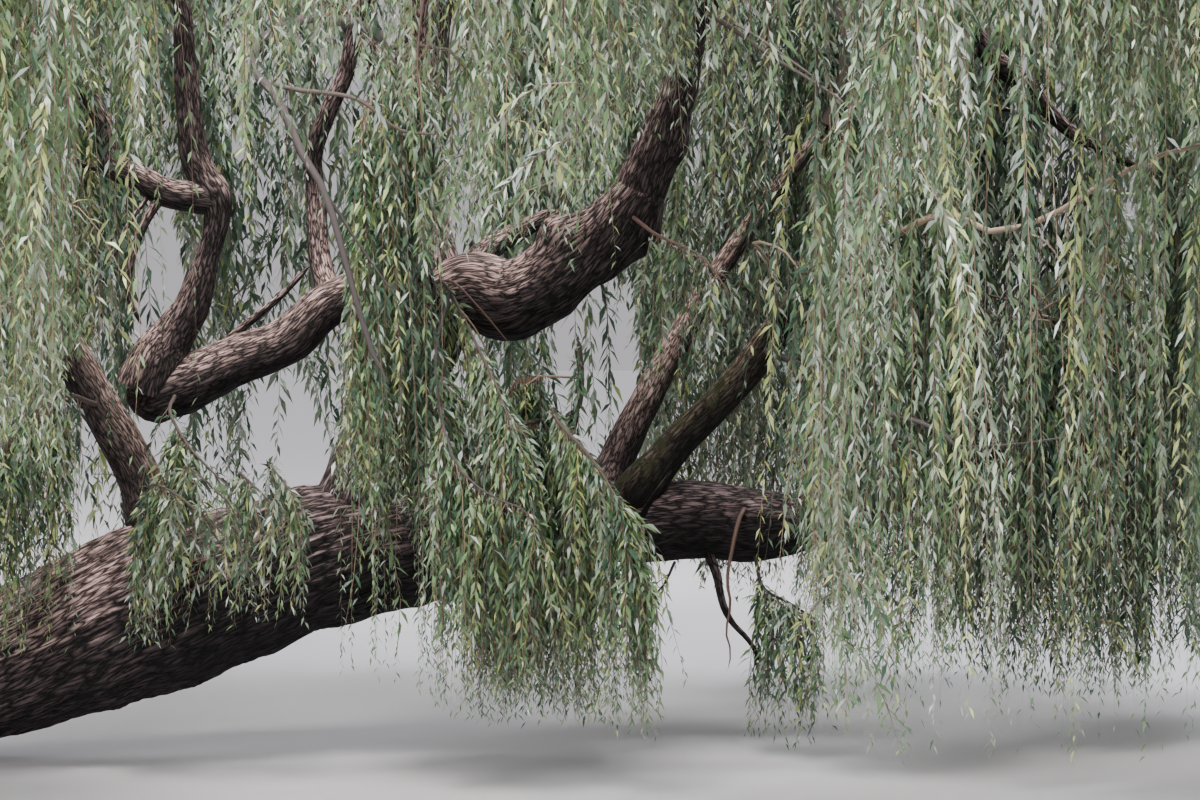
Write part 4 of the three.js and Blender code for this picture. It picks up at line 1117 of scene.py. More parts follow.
SMALL_BRANCHES: tuple[SmallBranch, ...] = (
    SmallBranch("grey branch", ((3.72, -0.75, 4.38), (3.4, -0.86, 4.5), (3.08, -0.94, 4.42),
        (2.95, -1.0, 4.24), (3.14, -1.15, 4.0), (3.27, -1.25, 3.71), (3.41, -1.3, 3.48),
        (3.53, -1.35, 3.08), (3.7, -1.3, 2.51), (3.78, -1.3, 2.37)), (0.036, 0.014), Wood.GREY, shown=0.05,
        shown_from=0.36),
    SmallBranch("grey side branch", ((3.06, -1.08, 4.1), (3.25, -1.1, 4.06), (3.6, -1.2, 4.0),
        (3.83, -1.2, 3.83), (4.06, -1.2, 3.8)), (0.016, 0.008), Wood.STEM, shown=0.08),
    SmallBranch("grey fork twig", ((3.42, -1.3, 3.46), (3.67, -1.2, 3.07), (3.83, -1.15, 2.85)),
        (0.011, 0.004), Wood.GREY),
    SmallBranch("upper twig", ((4.44, -1.3, 6.47), (4.6, -1.5, 5.6), (4.62, -1.6, 4.8), (4.76, -1.6, 4.43),
        (4.98, -1.6, 4.34), (5.2, -1.6, 4.2)), (0.016, 0.005), Wood.STEM, shown=0.01),
    SmallBranch("thin hanging twig", ((4.6, -1.5, 5.6), (4.25, -1.6, 5.3), (4.03, -1.6, 4.7),
        (3.96, -1.6, 4.2), (4.0, -1.6, 3.7)), (0.012, 0.004), Wood.RED, shown=0.03, shown_from=0.5),
    SmallBranch("thin side twig", ((4.61, -1.57, 5.0), (4.4, -1.65, 4.95), (4.22, -1.7, 4.55),
        (4.14, -1.7, 4.2), (4.2, -1.7, 3.8)), (0.01, 0.004), Wood.STEM, shown=0.02, shown_from=0.5),
    SmallBranch("riser twig", ((5.58, 0.36, 4.66), (5.78, 0.0, 4.5), (5.98, -0.25, 4.33), (6.4, -0.5, 4.04),
        (6.62, -0.6, 3.8)), (0.018, 0.006), Wood.STEM, shown=0.02),
    SmallBranch("elbow twig", ((5.18, 0.28, 3.36), (5.33, -0.1, 3.24), (5.6, -0.3, 3.1),
        (5.78, -0.35, 2.85)), (0.014, 0.005), Wood.RED, shown=0.015, mass="mossy_curtain", strands=60,
        strands_from=0.1, hem=2.25),
    SmallBranch("pale arch", ((6.1, 0.2, 2.7), (5.98, -0.2, 3.1), (5.9, -0.35, 3.2), (6.1, -0.5, 3.12),
        (6.25, -0.5, 2.8)), (0.014, 0.005), Wood.TAN, shown=0.015, mass="mossy_curtain", strands=70,
        hem=2.1),
    SmallBranch("curtain branch", ((6.2, 0.15, 2.86), (6.3, -0.4, 3.35), (6.5, -0.8, 3.42),
        (6.8, -1.0, 3.2)), (0.018, 0.006), Wood.STEM, mass="mossy_curtain", strands=90, hem=0.9),
    SmallBranch("tan branch", ((6.42, 0.02, 3.16), (6.66, -0.5, 3.18), (6.86, -0.9, 3.32),
        (7.02, -1.1, 3.34), (7.2, -1.2, 3.25), (7.48, -1.3, 3.3), (7.7, -1.4, 3.44), (7.98, -1.45, 3.6),
        (8.3, -1.5, 3.72), (8.8, -1.6, 3.74)), (0.024, 0.011), Wood.TAN, shown=0.12, shown_from=0.27,
        mass="front_right_curtain", strands=100, strands_from=0.5, hem=0.3),
    SmallBranch("tan side twig", ((7.34, -1.25, 3.25), (7.5, -1.3, 3.2), (7.62, -1.3, 3.06)),
        (0.008, 0.004), Wood.TAN),
    SmallBranch("right arch", ((6.0, 0.2, 2.54), (6.35, -0.4, 2.38), (6.64, -0.9, 2.2), (6.95, -1.0, 2.1),
        (7.14, -1.1, 1.87), (7.34, -1.1, 1.64)), (0.024, 0.009), Wood.GREY, shown=0.1, shown_from=0.5,
        mass="mossy_curtain", strands=60, hem=0.4),
    SmallBranch("right flat twig", ((7.05, -1.05, 2.0), (7.35, -1.1, 2.02), (7.75, -1.2, 2.08)),
        (0.011, 0.005), Wood.GREY, shown=0.06, mass="mossy_curtain", strands=30, hem=0.4),
    SmallBranch("pale hanger", ((5.9, 0.42, 1.55), (5.85, 0.29, 1.5), (5.8, 0.25, 1.3), (5.77, 0.24, 1.1),
        (5.79, 0.22, 0.95), (5.76, 0.2, 0.8), (5.79, 0.18, 0.66), (5.77, 0.16, 0.55)), (0.016, 0.004),
        Wood.RED),
    SmallBranch("thin hanger", ((5.26, 0.5, 1.2), (5.24, 0.45, 0.9), (5.23, 0.4, 0.72), (5.35, 0.4, 0.55)),
        (0.009, 0.004), Wood.DARK),
    SmallBranch("under branch", ((5.95, 0.45, 1.25), (6.0, 0.3, 1.05), (6.15, 0.2, 0.97),
        (6.35, 0.15, 0.85)), (0.014, 0.005), Wood.DARK, mass="low_curtain", strands=40, hem=0.08),
    SmallBranch("under twig", ((5.45, 0.45, 1.2), (5.36, 0.3, 1.05), (5.22, 0.22, 0.95)), (0.01, 0.004),
        Wood.DARK, mass="low_curtain", strands=14, hem=0.2),
    SmallBranch("fork spray", ((3.9, 0.45, 2.72), (3.98, 0.05, 2.95), (4.08, -0.4, 2.9), (4.25, -0.75, 2.6),
        (4.42, -0.95, 2.25), (4.5, -1.0, 1.95)), (0.014, 0.006), Wood.STEM, mass="fork_curtain",
        strands=200, hem=0.5, lean=0.12),
    SmallBranch("fork left spray", ((3.84, 0.38, 2.8), (3.8, 0.0, 2.98), (3.88, -0.4, 2.85),
        (4.0, -0.7, 2.45), (4.05, -0.85, 2.1)), (0.012, 0.005), Wood.STEM, mass="fork_curtain", strands=120,
        hem=1.6, lean=0.06),
    SmallBranch("riser spray", ((5.52, 0.3, 4.85), (5.42, -0.25, 5.1), (5.46, -0.65, 5.0),
        (5.54, -0.85, 4.7)), (0.014, 0.005), Wood.STEM, mass="fork_curtain", strands=90, strands_from=0.3,
        hem=4.0),
    SmallBranch("high twig", ((5.76, 0.07, 4.88), (5.58, -0.8, 4.8), (5.72, -1.6, 4.42), (5.87, -1.8, 4.3),
        (6.24, -1.95, 4.02)), (0.016, 0.006), Wood.STEM, shown=0.07, shown_from=0.6),
    SmallBranch("drape left arm", ((4.8, 0.15, 2.0), (4.6, -0.35, 2.12), (4.32, -0.6, 2.0),
        (4.08, -0.7, 1.7)), (0.016, 0.007), Wood.STEM, mass="drape_curtain", strands=170, strands_from=0.1,
        hem=0.35, lean=0.1),
    SmallBranch("drape right arm", ((4.8, 0.15, 2.05), (4.7, -0.4, 2.2), (4.75, -0.85, 2.12),
        (4.95, -1.1, 1.92), (5.12, -1.15, 1.6), (5.18, -1.15, 1.3)), (0.015, 0.006), Wood.STEM,
        mass="drape_curtain", strands=240, hem=0.35, lean=0.16),
    SmallBranch("drape grey twig", ((4.08, -0.4, 2.9), (4.02, -0.85, 2.55), (4.06, -1.05, 2.2),
        (4.17, -1.15, 1.88), (4.41, -1.2, 1.7), (4.57, -1.2, 1.64), (4.67, -1.2, 1.45)), (0.013, 0.005),
        Wood.GREY, shown=0.0, mass="drape_curtain", strands=60, strands_from=0.5, hem=0.5),
    SmallBranch("low left spray", ((1.89, 0.02, 2.21), (1.75, -0.35, 2.27), (1.55, -0.6, 2.1),
        (1.35, -0.75, 1.85)), (0.018, 0.006), Wood.STEM, mass="left_side_curtain", strands=80,
        strands_from=0.1, hem=0.75),
    SmallBranch("low middle spray", ((2.35, 0.22, 2.25), (2.38, -0.2, 2.16), (2.55, -0.5, 1.95),
        (2.82, -0.7, 1.72)), (0.014, 0.005), Wood.STEM, mass="left_side_curtain", strands=60, hem=0.95),
    SmallBranch("trunk shoot", ((2.35, -0.12, 1.3), (2.28, -0.45, 1.72), (2.48, -0.8, 1.72),
        (2.85, -0.9, 1.42)), (0.014, 0.005), Wood.STEM, mass="left_side_curtain", strands=130, hem=0.8),
    SmallBranch("trunk shoot three", ((2.62, -0.16, 1.42), (2.5, -0.5, 1.82), (2.62, -0.85, 1.84),
        (2.92, -1.0, 1.58)), (0.012, 0.005), Wood.STEM, mass="left_side_curtain", strands=120, hem=0.92),
    SmallBranch("trunk shoot four", ((3.1, 0.08, 1.46), (3.0, -0.45, 1.85), (3.08, -0.8, 1.84),
        (3.28, -0.95, 1.6)), (0.012, 0.005), Wood.STEM, mass="left_side_curtain", strands=130, hem=1.0),
    SmallBranch("pale bough spray", ((1.5, 0.0, 2.95), (1.62, -0.35, 3.12), (1.72, -0.6, 2.98),
        (1.78, -0.7, 2.7)), (0.012, 0.005), Wood.STEM, mass="left_side_curtain", strands=100, hem=2.3),
    SmallBranch("elbow twig one", ((3.98, 0.42, 2.96), (4.08, 0.25, 2.95), (4.25, 0.18, 2.78),
        (4.42, 0.12, 2.58)), (0.009, 0.004), Wood.RED, shown=0.0),
    SmallBranch("elbow twig two", ((4.0, 0.42, 2.86), (4.1, 0.26, 2.8), (4.24, 0.16, 2.62),
        (4.32, 0.1, 2.4)), (0.008, 0.004), Wood.TAN, shown=0.0),
    SmallBranch("elbow twig three", ((3.94, 0.42, 2.82), (4.04, 0.24, 2.72), (4.15, 0.15, 2.5),
        (4.2, 0.1, 2.3)), (0.008, 0.004), Wood.RED),
    SmallBranch("trunk shoot two", ((2.9, -0.1, 1.45), (2.82, -0.45, 1.8), (2.95, -0.8, 1.76),
        (3.25, -0.9, 1.48)), (0.012, 0.005), Wood.STEM, mass="left_side_curtain", strands=120, hem=0.9),
)


@dataclass
class Sightlines:
    """Where strands part so that the boughs and the water beyond show from the bank."""

    bank: Place = (4.98, -19.4, 3.0)
    plane: float = 0.6
    shown: tuple[Shown, ...] = (
        Shown("left_riser", 0.0, 0.95, 0.09),
        Shown("left_side_branch", 0.0, 0.85, 0.04),
        Shown("left_bough", 0.4, 1.0, 0.06),
        Shown("elbow_bough", 0.14, 1.0, 0.06),
        Shown("elbow_riser", 0.0, 0.36, 0.05),
        Shown("trunk", 0.8, 0.95, -0.05),
        Shown("lower_bough", 0.0, 0.05, -0.04),
        Shown("lower_bough", 0.52, 0.62, 0.03),
        Shown("mossy_bough", 0.13, 0.46, 0.05),
        Shown("far_side_bough", 0.15, 0.3, 0.02),
        Shown("far_left_bough", 0.22, 0.35, 0.03),
        Shown("right_bough", 0.6, 1.0, 0.08),
    )
    gaps: tuple[Gap, ...] = (
        Gap(4.95, 2.7, 0.31, 0.32),
        Gap(3.02, 2.12, 0.24, 0.26),
        Gap(2.2, 3.12, 0.18, 0.28),
        Gap(5.5, 0.55, 0.22, 0.6),
        Gap(7.58, 3.6, 0.3, 0.34, 1.6),
        Gap(3.2, 3.82, 0.1, 0.17, 0.8),
        Gap(3.16, 3.5, 0.09, 0.13, 0.8),
        Gap(3.37, 4.34, 0.08, 0.22, 0.8),
    )
    shade: Gap = Gap(7.62, 3.58, 0.36, 0.44)
    spacing: float = 0.06
    softness: float = 0.5
    crossing: float = 0.11
    open_from: float = 0.04

    def discs(self, limbs: dict[str, Limb]) -> Array:
        """Every gap as (x, z, half width, half height, depth).

        Args:
            limbs: Every limb, by name.

        Returns:
            The gaps that the limbs, the small branches and the water show through.
        """
        rows = []
        for shown in self.shown:
            limb = limbs[shown.limb]
            rows.append(self._beads(limb.line, limb.radii, shown.start, shown.stop, shown.margin))
        for branch in SMALL_BRANCHES:
            if branch.shown is not None:
                rows.append(self._beads(branch.line, branch.radii, branch.shown_from, 1.0, branch.shown))
        rows.append(np.array([gap.disc for gap in self.gaps]))
        return np.vstack(rows)

    def _beads(self, line: Way, radii: tuple[float, ...], start: float, stop: float, margin: float) -> Array:
        """Round gaps along a stretch of a line."""
        shares = np.arange(start, stop, self.spacing / line.length)
        places = line.at(shares)
        reach = along(radii, shares) + margin
        return np.column_stack([self.onto_plane(places), reach, reach, places[:, 1]])

    def onto_plane(self, places: Array) -> Array:
        """Places moved along the line of sight onto the plane of the boughs, as (x, z)."""
        bank = np.array(self.bank)
        scale = (self.plane - bank[1]) / (places[..., 1] - bank[1])
        return np.stack([
            bank[0] + (places[..., 0] - bank[0]) * scale,
            bank[2] + (places[..., 2] - bank[2]) * scale,
        ], axis=-1)

    def hidden(self, places: Array, discs: Array, slack: Array | float = 1.0) -> Array:
        """True for each place that lies in a gap, each gap wider by the slack."""
        seen = self.onto_plane(places)
        found = np.zeros(places.shape[:-1], bool)
        for x, z, half_width, half_height, depth in discs:
            off = ((seen[..., 0] - x) / half_width) ** 2 + ((seen[..., 1] - z) / half_height) ** 2
            found |= (off < slack) & (places[..., 1] < depth)
        return found

    def blocked(self, strands: Array, discs: Array, rng: np.random.Generator) -> Array:
        """Where strands would hang in a gap.

        Args:
            strands: Places down each strand, as (strands, places, 3).
            discs: The gaps.
            rng: Draws.

        Returns:
            True for each place that has to stay clear.
        """
        slack = 1 + self.softness * (rng.random(len(strands)) - 0.5)[:, None]
        bold = rng.random(len(strands))[:, None] < self.crossing
        return self.hidden(strands, discs, slack) & ~bold

    def shaded(self, places: Array) -> Array:
        """True for places in the deep shade under the dark bough at the right."""
        return self.hidden(places, np.array([self.shade.disc]))

    def open_share(self, way: Way, discs: Array) -> float:
        """The share of a line, from its start, that hangs in no gap."""
        shares = np.linspace(self.open_from, 1, WAY_CHECKS)
        caught = self.hidden(way.at(shares), discs)
        return float(shares[np.argmax(caught)]) if caught.any() else 1.0


@dataclass
class Strands:
    """Hanging twigs of one mass: places, lengths, radii and tones."""

    places: Array
    lengths: Array
    tones: Array


@dataclass
class Growth:
    """One mass of foliage: a stem, arms round it, and strands of leaves that hang from them."""

    mass: Mass
    index: int
    limb: Limb
    near: Array
    sight: Sightlines
    discs: Array
    fine_arms: int = 3
    fine_out: Pair = (0.3, 1.0)
    fine_radii: Pair = (0.009, 0.002)
    arm_tip_radius: float = 0.0025
    least_open: float = 0.12
    least_fine_arm: float = 0.15
    limb_room: float = 0.02
    strand_room: float = 0.03
    strand_crowding: float = 1.25
    tufts_along: Pair = (0.5, 1.0)
    drop_shape: float = 1.8
    sway_turns: float = 2.2
    sway_pace: Pair = (0.5, 1.0)
    leafy_from: float = 0.08
    stem_leafy_from: float = 0.45
    strand_from: Pair = (0.12, 1.0)
    strand_push: Pair = (0.03, 0.36)
    strand_turn: Pair = (30.0, 140.0)
    strand_drop: Pair = (0.66, 1.0)
    strand_bend_down: float = 0.12
    strand_bend_out: float = 0.75
    strand_sway: float = 0.05
    least_strand: float = 0.45
    least_leafy: float = 0.15
    strand_rise: Pair = (0.0, 0.3)
    branch_push: Pair = (0.02, 0.22)
    crest_strands: float = 0.16
    ground: float = 0.03
    strand_rings: int = 4
    checks: int = 48
    # Painted sunlight: sunlit tones are dealt more often to strands that end towards the west.
    sunny_west: float = 2.6
    sunny_fade: float = 3.0
    sunny_share: Pair = (0.45, 0.06)
    # Painted shade: deep tones are dealt more often to strands that end near the middle of the crown's depth.
    painted_shade_depth: Place = (1.25, 1.8, 2.8)
    painted_shade_share: float = 0.4
    deep_below: float = 0.16
    green_below: float = 0.62
    silver_below: float = 0.67
    first_seed: int = 100

    def __post_init__(self) -> None:
        """Sets up the draws."""
        self.draws = Draws(self.index + 1)
        self.rng = np.random.default_rng(self.first_seed + self.index)

    def stem(self) -> Way:
        """The stem: on from its bough's tip, up to near the top of the space."""
        line = self.limb.line
        heading = line.heading(1.0)
        start = line.at(1.0) + heading * SEAT_GAP
        crest = np.array([*self.mass.middle, mix(self.mass.waist, self.mass.top, STEM_CREST)])
        through = start + heading * STEM_PULL * np.linalg.norm(crest - start)
        return Way.bent(start, through, crest)

    def room_out(self, azimuth: float) -> float:
        """How far out an arm on a heading can hang and stay in the space."""
        mass = self.mass
        heights = [mix(mass.waist, mass.top, share) if share > 0 else mix(mass.waist, mass.hem, -share)
                   for share in ROOM_HEIGHTS]
        out = ROOM_WIDEST
        while out > ROOM_LEAST:
            if mass.inside(np.array([mass.at(azimuth, out, height) for height in heights])).all():
                break
            out -= ROOM_STEP
        return out

    def arm(self, start: Array, azimuth: float, reach: float) -> Way:
        """An arm arches out of the stem to the side of the dome, then hangs towards the hem.

        Args:
            start: Where it leaves the stem.
            azimuth: Its heading.
            reach: How much of the usual reach it has.

        Returns:
            The arm's line.
        """
        mass = self.mass
        out = self.room_out(azimuth) * self.draws.between(ARM_OUT) * reach
        lift = math.sqrt(1 - out * out) * self.draws.between(ARM_LIFT)
        shoulder = mass.at(azimuth, out, mix(mass.waist, mass.top, lift))
        arch = mix(start, shoulder, ARM_ARCH_AT)
        arch[2] += ARM_ARCH_RISE * np.linalg.norm(shoulder - start)
        low = mix(mass.waist, mass.hem, self.draws.between(ARM_HEM))
        return Way.through((start, arch, shoulder, mass.at(azimuth, ARM_FLARE * out, low)), 80)

    def share_inside(self, way: Way, reach: float) -> float:
        """The share of a line, from its start, that stays in the space and clear of the limbs."""
        places = way.at(np.arange(1, WAY_CHECKS + 1) / WAY_CHECKS)
        clear = self.mass.inside(places) & self.clear_of_limbs(places, reach)
        return 1.0 if clear.all() else float(np.argmin(clear)) / WAY_CHECKS

    def clear_of_limbs(self, places: Array, reach: float) -> Array:
        """True where places are clear of every limb."""
        gap = np.linalg.norm(places[..., None, :] - self.near[:, :3], axis=-1) - self.near[:, 3]
        return gap.min(axis=-1) > reach + self.limb_room

    def arms(self, stem: Way) -> list[tuple[Way, float, bool]]:
        """Every arm with its heading, and whether it is one of the finer ones."""
        grown = []
        turn = self.draws.next() * 360
        count = ARM_COUNT if self.mass.spread[0] > SMALL_SPREAD else SMALL_ARM_COUNT
        total = count * (1 + self.fine_arms)
        for arm in range(total):
            fine = arm >= count
            share = (arm - count + 0.5) / (total - count) if fine else (arm + 0.5) / count
            azimuth = math.radians(turn + GOLDEN_ANGLE * arm)
            reach = mix(*self.fine_out, self.rng.random()) if fine else 1.0
            whole = self.arm(stem.at(mix(*ARM_ROOTS, share)), azimuth, reach)
            kept = self.share_inside(whole, ARM_RADII[0])
            if kept > (self.least_fine_arm if fine else LEAST_ARM):
                kept = min(kept, self.sight.open_share(whole, self.discs))
                if kept > self.least_open:
                    grown.append((whole.first(kept), azimuth, fine))
        return grown

    def strands(self, stem: Way, arms: list[tuple[Way, float, bool]]) -> Strands:
        """Strands that hang from the stem, the arms and the small branches that go with this mass.

        Args:
            stem: The stem.
            arms: The arms with their headings.

        Returns:
            The strands that have room.
        """
        mass, rng = self.mass, self.rng
        wanted = round(mass.sector.value.crowding * mass.crowd * math.pi * mass.spread[0] * mass.spread[1])
        weights = np.array([way.length for way, _, _ in arms])
        counts = np.maximum(1, np.round(wanted * weights / weights.sum()).astype(int))
        starts, azimuths = [], []
        for (way, azimuth, _), count in zip(arms, counts):
            spots = (np.arange(count) + rng.random(count)) / count
            starts.append(way.at(mix(*self.strand_from, spots**self.strand_crowding)))
            azimuths.append(np.full(count, azimuth))
        tufts = round(wanted * self.crest_strands)
        starts.append(stem.at(rng.uniform(*self.tufts_along, tufts)))
        azimuths.append(rng.uniform(0, 2 * math.pi, tufts))
        bound = sum(map(len, starts))
        hems, leans = [np.full(bound, mass.hem)], [np.zeros(bound)]
        for branch in SMALL_BRANCHES:
            if branch.mass == mass.name:
                starts.append(branch.line.at(rng.uniform(branch.strands_from, 1.0, branch.strands)))
                azimuths.append(rng.uniform(0, 2 * math.pi, branch.strands))
                hems.append(np.full(branch.strands, branch.hem))
                leans.append(np.full(branch.strands, branch.lean))
        start, azimuth, hem = np.vstack(starts), np.concatenate(azimuths), np.concatenate(hems)
        count = len(start)
        free = np.arange(count) >= bound
        side = np.where(rng.random(count) < 0.5, -1, 1)
        heading = azimuth + np.radians(rng.uniform(*self.strand_turn, count)) * side
        push = rng.uniform(*self.strand_push, count) * mass.spread[0]
        push[free] = rng.uniform(*self.branch_push, count - bound)
        end = start.copy()
        end[:, 0] += push * np.cos(heading) + np.concatenate(leans)
        end[:, 1] += push * np.sin(heading)
        drop = mix(*self.strand_drop, 1 - rng.random(count) ** self.drop_shape)
        end[:, 2] -= (start[:, 2] - hem) * drop
        through = mix(start, end, self.strand_bend_down)
        through[:, :2] = mix(start[:, :2], end[:, :2], self.strand_bend_out)
        through[:, 2] += rng.uniform(*self.strand_rise, count) * push
        t = np.linspace(0, 1, self.checks + 1)[None, :, None]
        line = (1 - t) ** 2 * start[:, None] + 2 * t * (1 - t) * through[:, None] + t**2 * end[:, None]
        phase = rng.random((count, 1, 2)) * 2 * math.pi
        wave = self.sway_turns * math.pi * t * rng.uniform(*self.sway_pace, (count, 1, 1))
        line[..., :2] += self.strand_sway * t * np.sin(wave + phase)
        return self._trimmed(line, self.sight.blocked(line, self.discs, rng), free, self.least_strand)

    def leafy_arms(self, stem: Way, arms: list[tuple[Way, float, bool]]) -> Strands:
        """The outer part of the stem, of every arm and of small branches, as strands that bear leaves."""
        ways = [(way, self.leafy_from) for way, _, _ in arms]
        ways.append((stem, self.stem_leafy_from))
        bound = len(ways)
        for branch in SMALL_BRANCHES:
            if branch.mass == self.mass.name and branch.shown is None:
                ways.append((branch.line, branch.strands_from))
        line = np.stack([way.at(np.linspace(start, 1, self.checks + 1)) for way, start in ways])
        unblocked = np.zeros(line.shape[:2], bool)
        return self._trimmed(line, unblocked, np.arange(len(line)) >= bound, self.least_leafy)

    def _trimmed(self, line: Array, blocked: Array, free: Array, least: float) -> Strands:
        """Cuts strands where they would leave the space, touch a limb, hang in a gap or reach the ground.

        Args:
            line: Places down each strand, as (strands, places, 3).
            blocked: True for places that have to stay clear.
            free: True for strands of small branches, which may hang between the masses.
            least: The shortest strand that is kept.

        Returns:
            The strands that are long enough.
        """
        clear = self.mass.inside(line, 0.0) | free[:, None]
        clear &= self.clear_of_limbs(line, self.strand_room)
        clear[:, 0] = True
        clear &= ~blocked & (line[..., 2] > self.ground)
        kept = np.where(clear.all(axis=1), self.checks, np.argmin(clear, axis=1) - 1)
        lengths = np.linalg.norm(np.diff(line, axis=1), axis=2)
        run = np.concatenate([np.zeros((len(line), 1)), np.cumsum(lengths, axis=1)], axis=1)
        total = run[np.arange(len(line)), np.maximum(kept, 0)]
        good = (kept > 0) & (total > least)
        line, kept, total = line[good], kept[good], total[good]
        spot = np.linspace(0, 1, self.strand_rings + 1)[None] * kept[:, None]
        low = np.minimum(spot.astype(int), self.checks - 1)
        rows = np.arange(len(line))[:, None]
        places = mix(line[rows, low], line[rows, low + 1], (spot - low)[..., None])
        return Strands(places, total, self._tones(places))

    def _tones(self, places: Array) -> Array:
        """The tone of each strand's leaves: painted sunlight makes them yellower towards the west, and
        painted shade makes them deeper within the crown and darkest under the dark bough at the right.
        """
        count = len(places)
        draw = self.rng.random(count)
        end = places[:, -1]
        most, least = self.sunny_share
        sunny = np.clip((self.sunny_west - end[:, 0]) / self.sunny_fade, 0, 1) * most + least
        full, middle, fade = self.painted_shade_depth
        # Painted shade within the crown.
        inner = np.clip(full - np.abs(end[:, 1] - middle) / fade, 0, 1) * self.painted_shade_share
        tones = np.full(count, Leaf.GREY.number)
        tones[draw < self.green_below] = Leaf.GREEN.number
        tones[draw < self.deep_below + inner] = Leaf.DEEP.number
        tones[draw > 1 - sunny] = Leaf.SUNLIT.number
        tones[(draw > self.green_below) & (draw < self.silver_below)] = Leaf.SILVER.number
        tones[self.sight.shaded(places[:, 1:3].mean(axis=1))] = Leaf.SHADED.number
        return tones


@dataclass
class LeafSprays:
    """Narrow leaves down strands, on alternate sides, each bent down towards its tip."""

    length: Pair = (0.095, 0.17)
    width_share: Pair = (0.17, 0.24)
    first_leaf: float = 0.04
    spread: Pair = (24.0, 58.0)
    droop: float = 0.55
    belly: float = 0.4
    roll: float = 42.0
    stray_tone: float = 0.2
    bare_share: float = 0.14
    bare_leaves: float = 0.35
    least_leaves: int = 3
    spot: Pair = (0.1, 0.9)
    turn_step: float = 0.35
    turn_spread: float = 0.5
    aside: Place = (0.93, 0.21, 0.3)
    droop_change: Pair = (0.4, 1.6)
    tip_taper: Place = (4.0, 1.03, 0.55)
    top_taper: Pair = (6.0, 0.6)

    def grow(self, strands: Strands, sector: Sector, rng: np.random.Generator) -> tuple[Array, Array, Array]:
        """Leaves for strands.

        Args:
            strands: The hanging twigs.
            sector: The part of the crown, which sets the leaves' size and spacing.
            rng: Draws.

        Returns:
            Four vertices a leaf, two triangles a leaf, and the tone of each triangle.
        """
        fullness = np.where(rng.random(len(strands.lengths)) < self.bare_share, self.bare_leaves, 1.0)
        look = sector.value
        counts = (strands.lengths / look.leaf_spacing * fullness).astype(int)
        counts = np.maximum(self.least_leaves, counts)
        which = np.repeat(np.arange(len(counts)), counts)
        order = np.arange(counts.sum()) - np.repeat(np.cumsum(counts) - counts, counts)
        total = len(which)
        share = mix(self.first_leaf, 1.0, (order + rng.uniform(*self.spot, total)) / counts[which])
        steps = strands.places.shape[1] - 1
        low = np.minimum((share * steps).astype(int), steps - 1)
        above, below = strands.places[which, low], strands.places[which, low + 1]
        root = mix(above, below, (share * steps - low)[:, None])
        down = unit(below - above)
        turn = rng.random(len(counts))[which] * 2 * math.pi + order * (math.pi + self.turn_step)
        turn = turn + rng.normal(0, self.turn_spread, total)
        first = unit(np.cross(down, self.aside))
        second = np.cross(down, first)
        out = first * np.cos(turn)[:, None] + second * np.sin(turn)[:, None]
        lean = np.radians(rng.uniform(*self.spread, total))[:, None]
        axis = unit(down * np.cos(lean) + out * np.sin(lean))
        change = rng.uniform(*self.droop_change, total)[:, None]
        fall = unit(axis + np.array([0, 0, -1.0]) * self.droop * change)
        size = rng.uniform(*self.length, total) * look.leaf_size
        steep, end, small = self.tip_taper
        fast, least = self.top_taper
        size *= np.clip(steep * (end - share), small, 1) * np.clip(share * fast, least, 1)
        flat = unit(np.cross(axis, (0.0, 0.0, 1.0)))
        roll = np.radians(rng.normal(0, self.roll, total))[:, None]
        across = flat * np.cos(roll) + np.cross(axis, flat) * np.sin(roll)
        half = (size * rng.uniform(*self.width_share, total) / 2)[:, None]
        belly = root + axis * (size * self.belly)[:, None]
        tip = belly + fall * (size * (1 - self.belly))[:, None]
        vertices = np.stack([root, belly + across * half, tip, belly - across * half], axis=1).reshape(-1, 3)
        base = np.arange(total)[:, None] * 4
        faces = np.concatenate([base + (0, 3, 1), base + (1, 3, 2)], axis=1).reshape(-1, 3)
        tones = strands.tones[which]
        shaded = Leaf.SHADED.number
        stray = (rng.random(total) < self.stray_tone) & (tones < shaded)
        tones = np.where(stray, rng.integers(0, shaded, total), tones)
        return vertices, faces, np.repeat(tones, 2)


@dataclass
class TwigBundle:
    """Twigs of three or more sides along lines that share a number of rings."""

    sides: int = 3
    level: float = 0.8
    tip_share: float = 0.1

    def mesh(self, places: Array, radii: Array) -> tuple[Array, Array]:
        """Vertices and quads of twigs.

        Args:
            places: Middle lines, as (twigs, rings, 3).
            radii: Radii, as (twigs, rings).

        Returns:
            The vertices and the quads.
        """
        twigs, rings = radii.shape
        headings = unit(np.gradient(places, axis=1))
        whole = unit(places[:, -1] - places[:, 0])
        aside = np.where(np.abs(whole[:, :1]) < self.level, [[1.0, 0.0, 0.0]], [[0.0, 1.0, 0.0]])
        first = unit(np.cross(headings, aside[:, None]))
        second = np.cross(headings, first)
        angle = (np.arange(self.sides) / self.sides * 2 * math.pi)[:, None]
        ring = first[:, :, None] * np.cos(angle) + second[:, :, None] * np.sin(angle)
        closed = np.concatenate([radii[:, :-1], radii[:, -1:] * self.tip_share], axis=1)
        vertices = places[:, :, None] + ring * closed[:, :, None, None]
        grid = grid_faces(rings, self.sides)
        faces = (np.arange(twigs) * rings * self.sides)[:, None, None] + grid
        return vertices.reshape(-1, 3), faces.reshape(-1, 4)


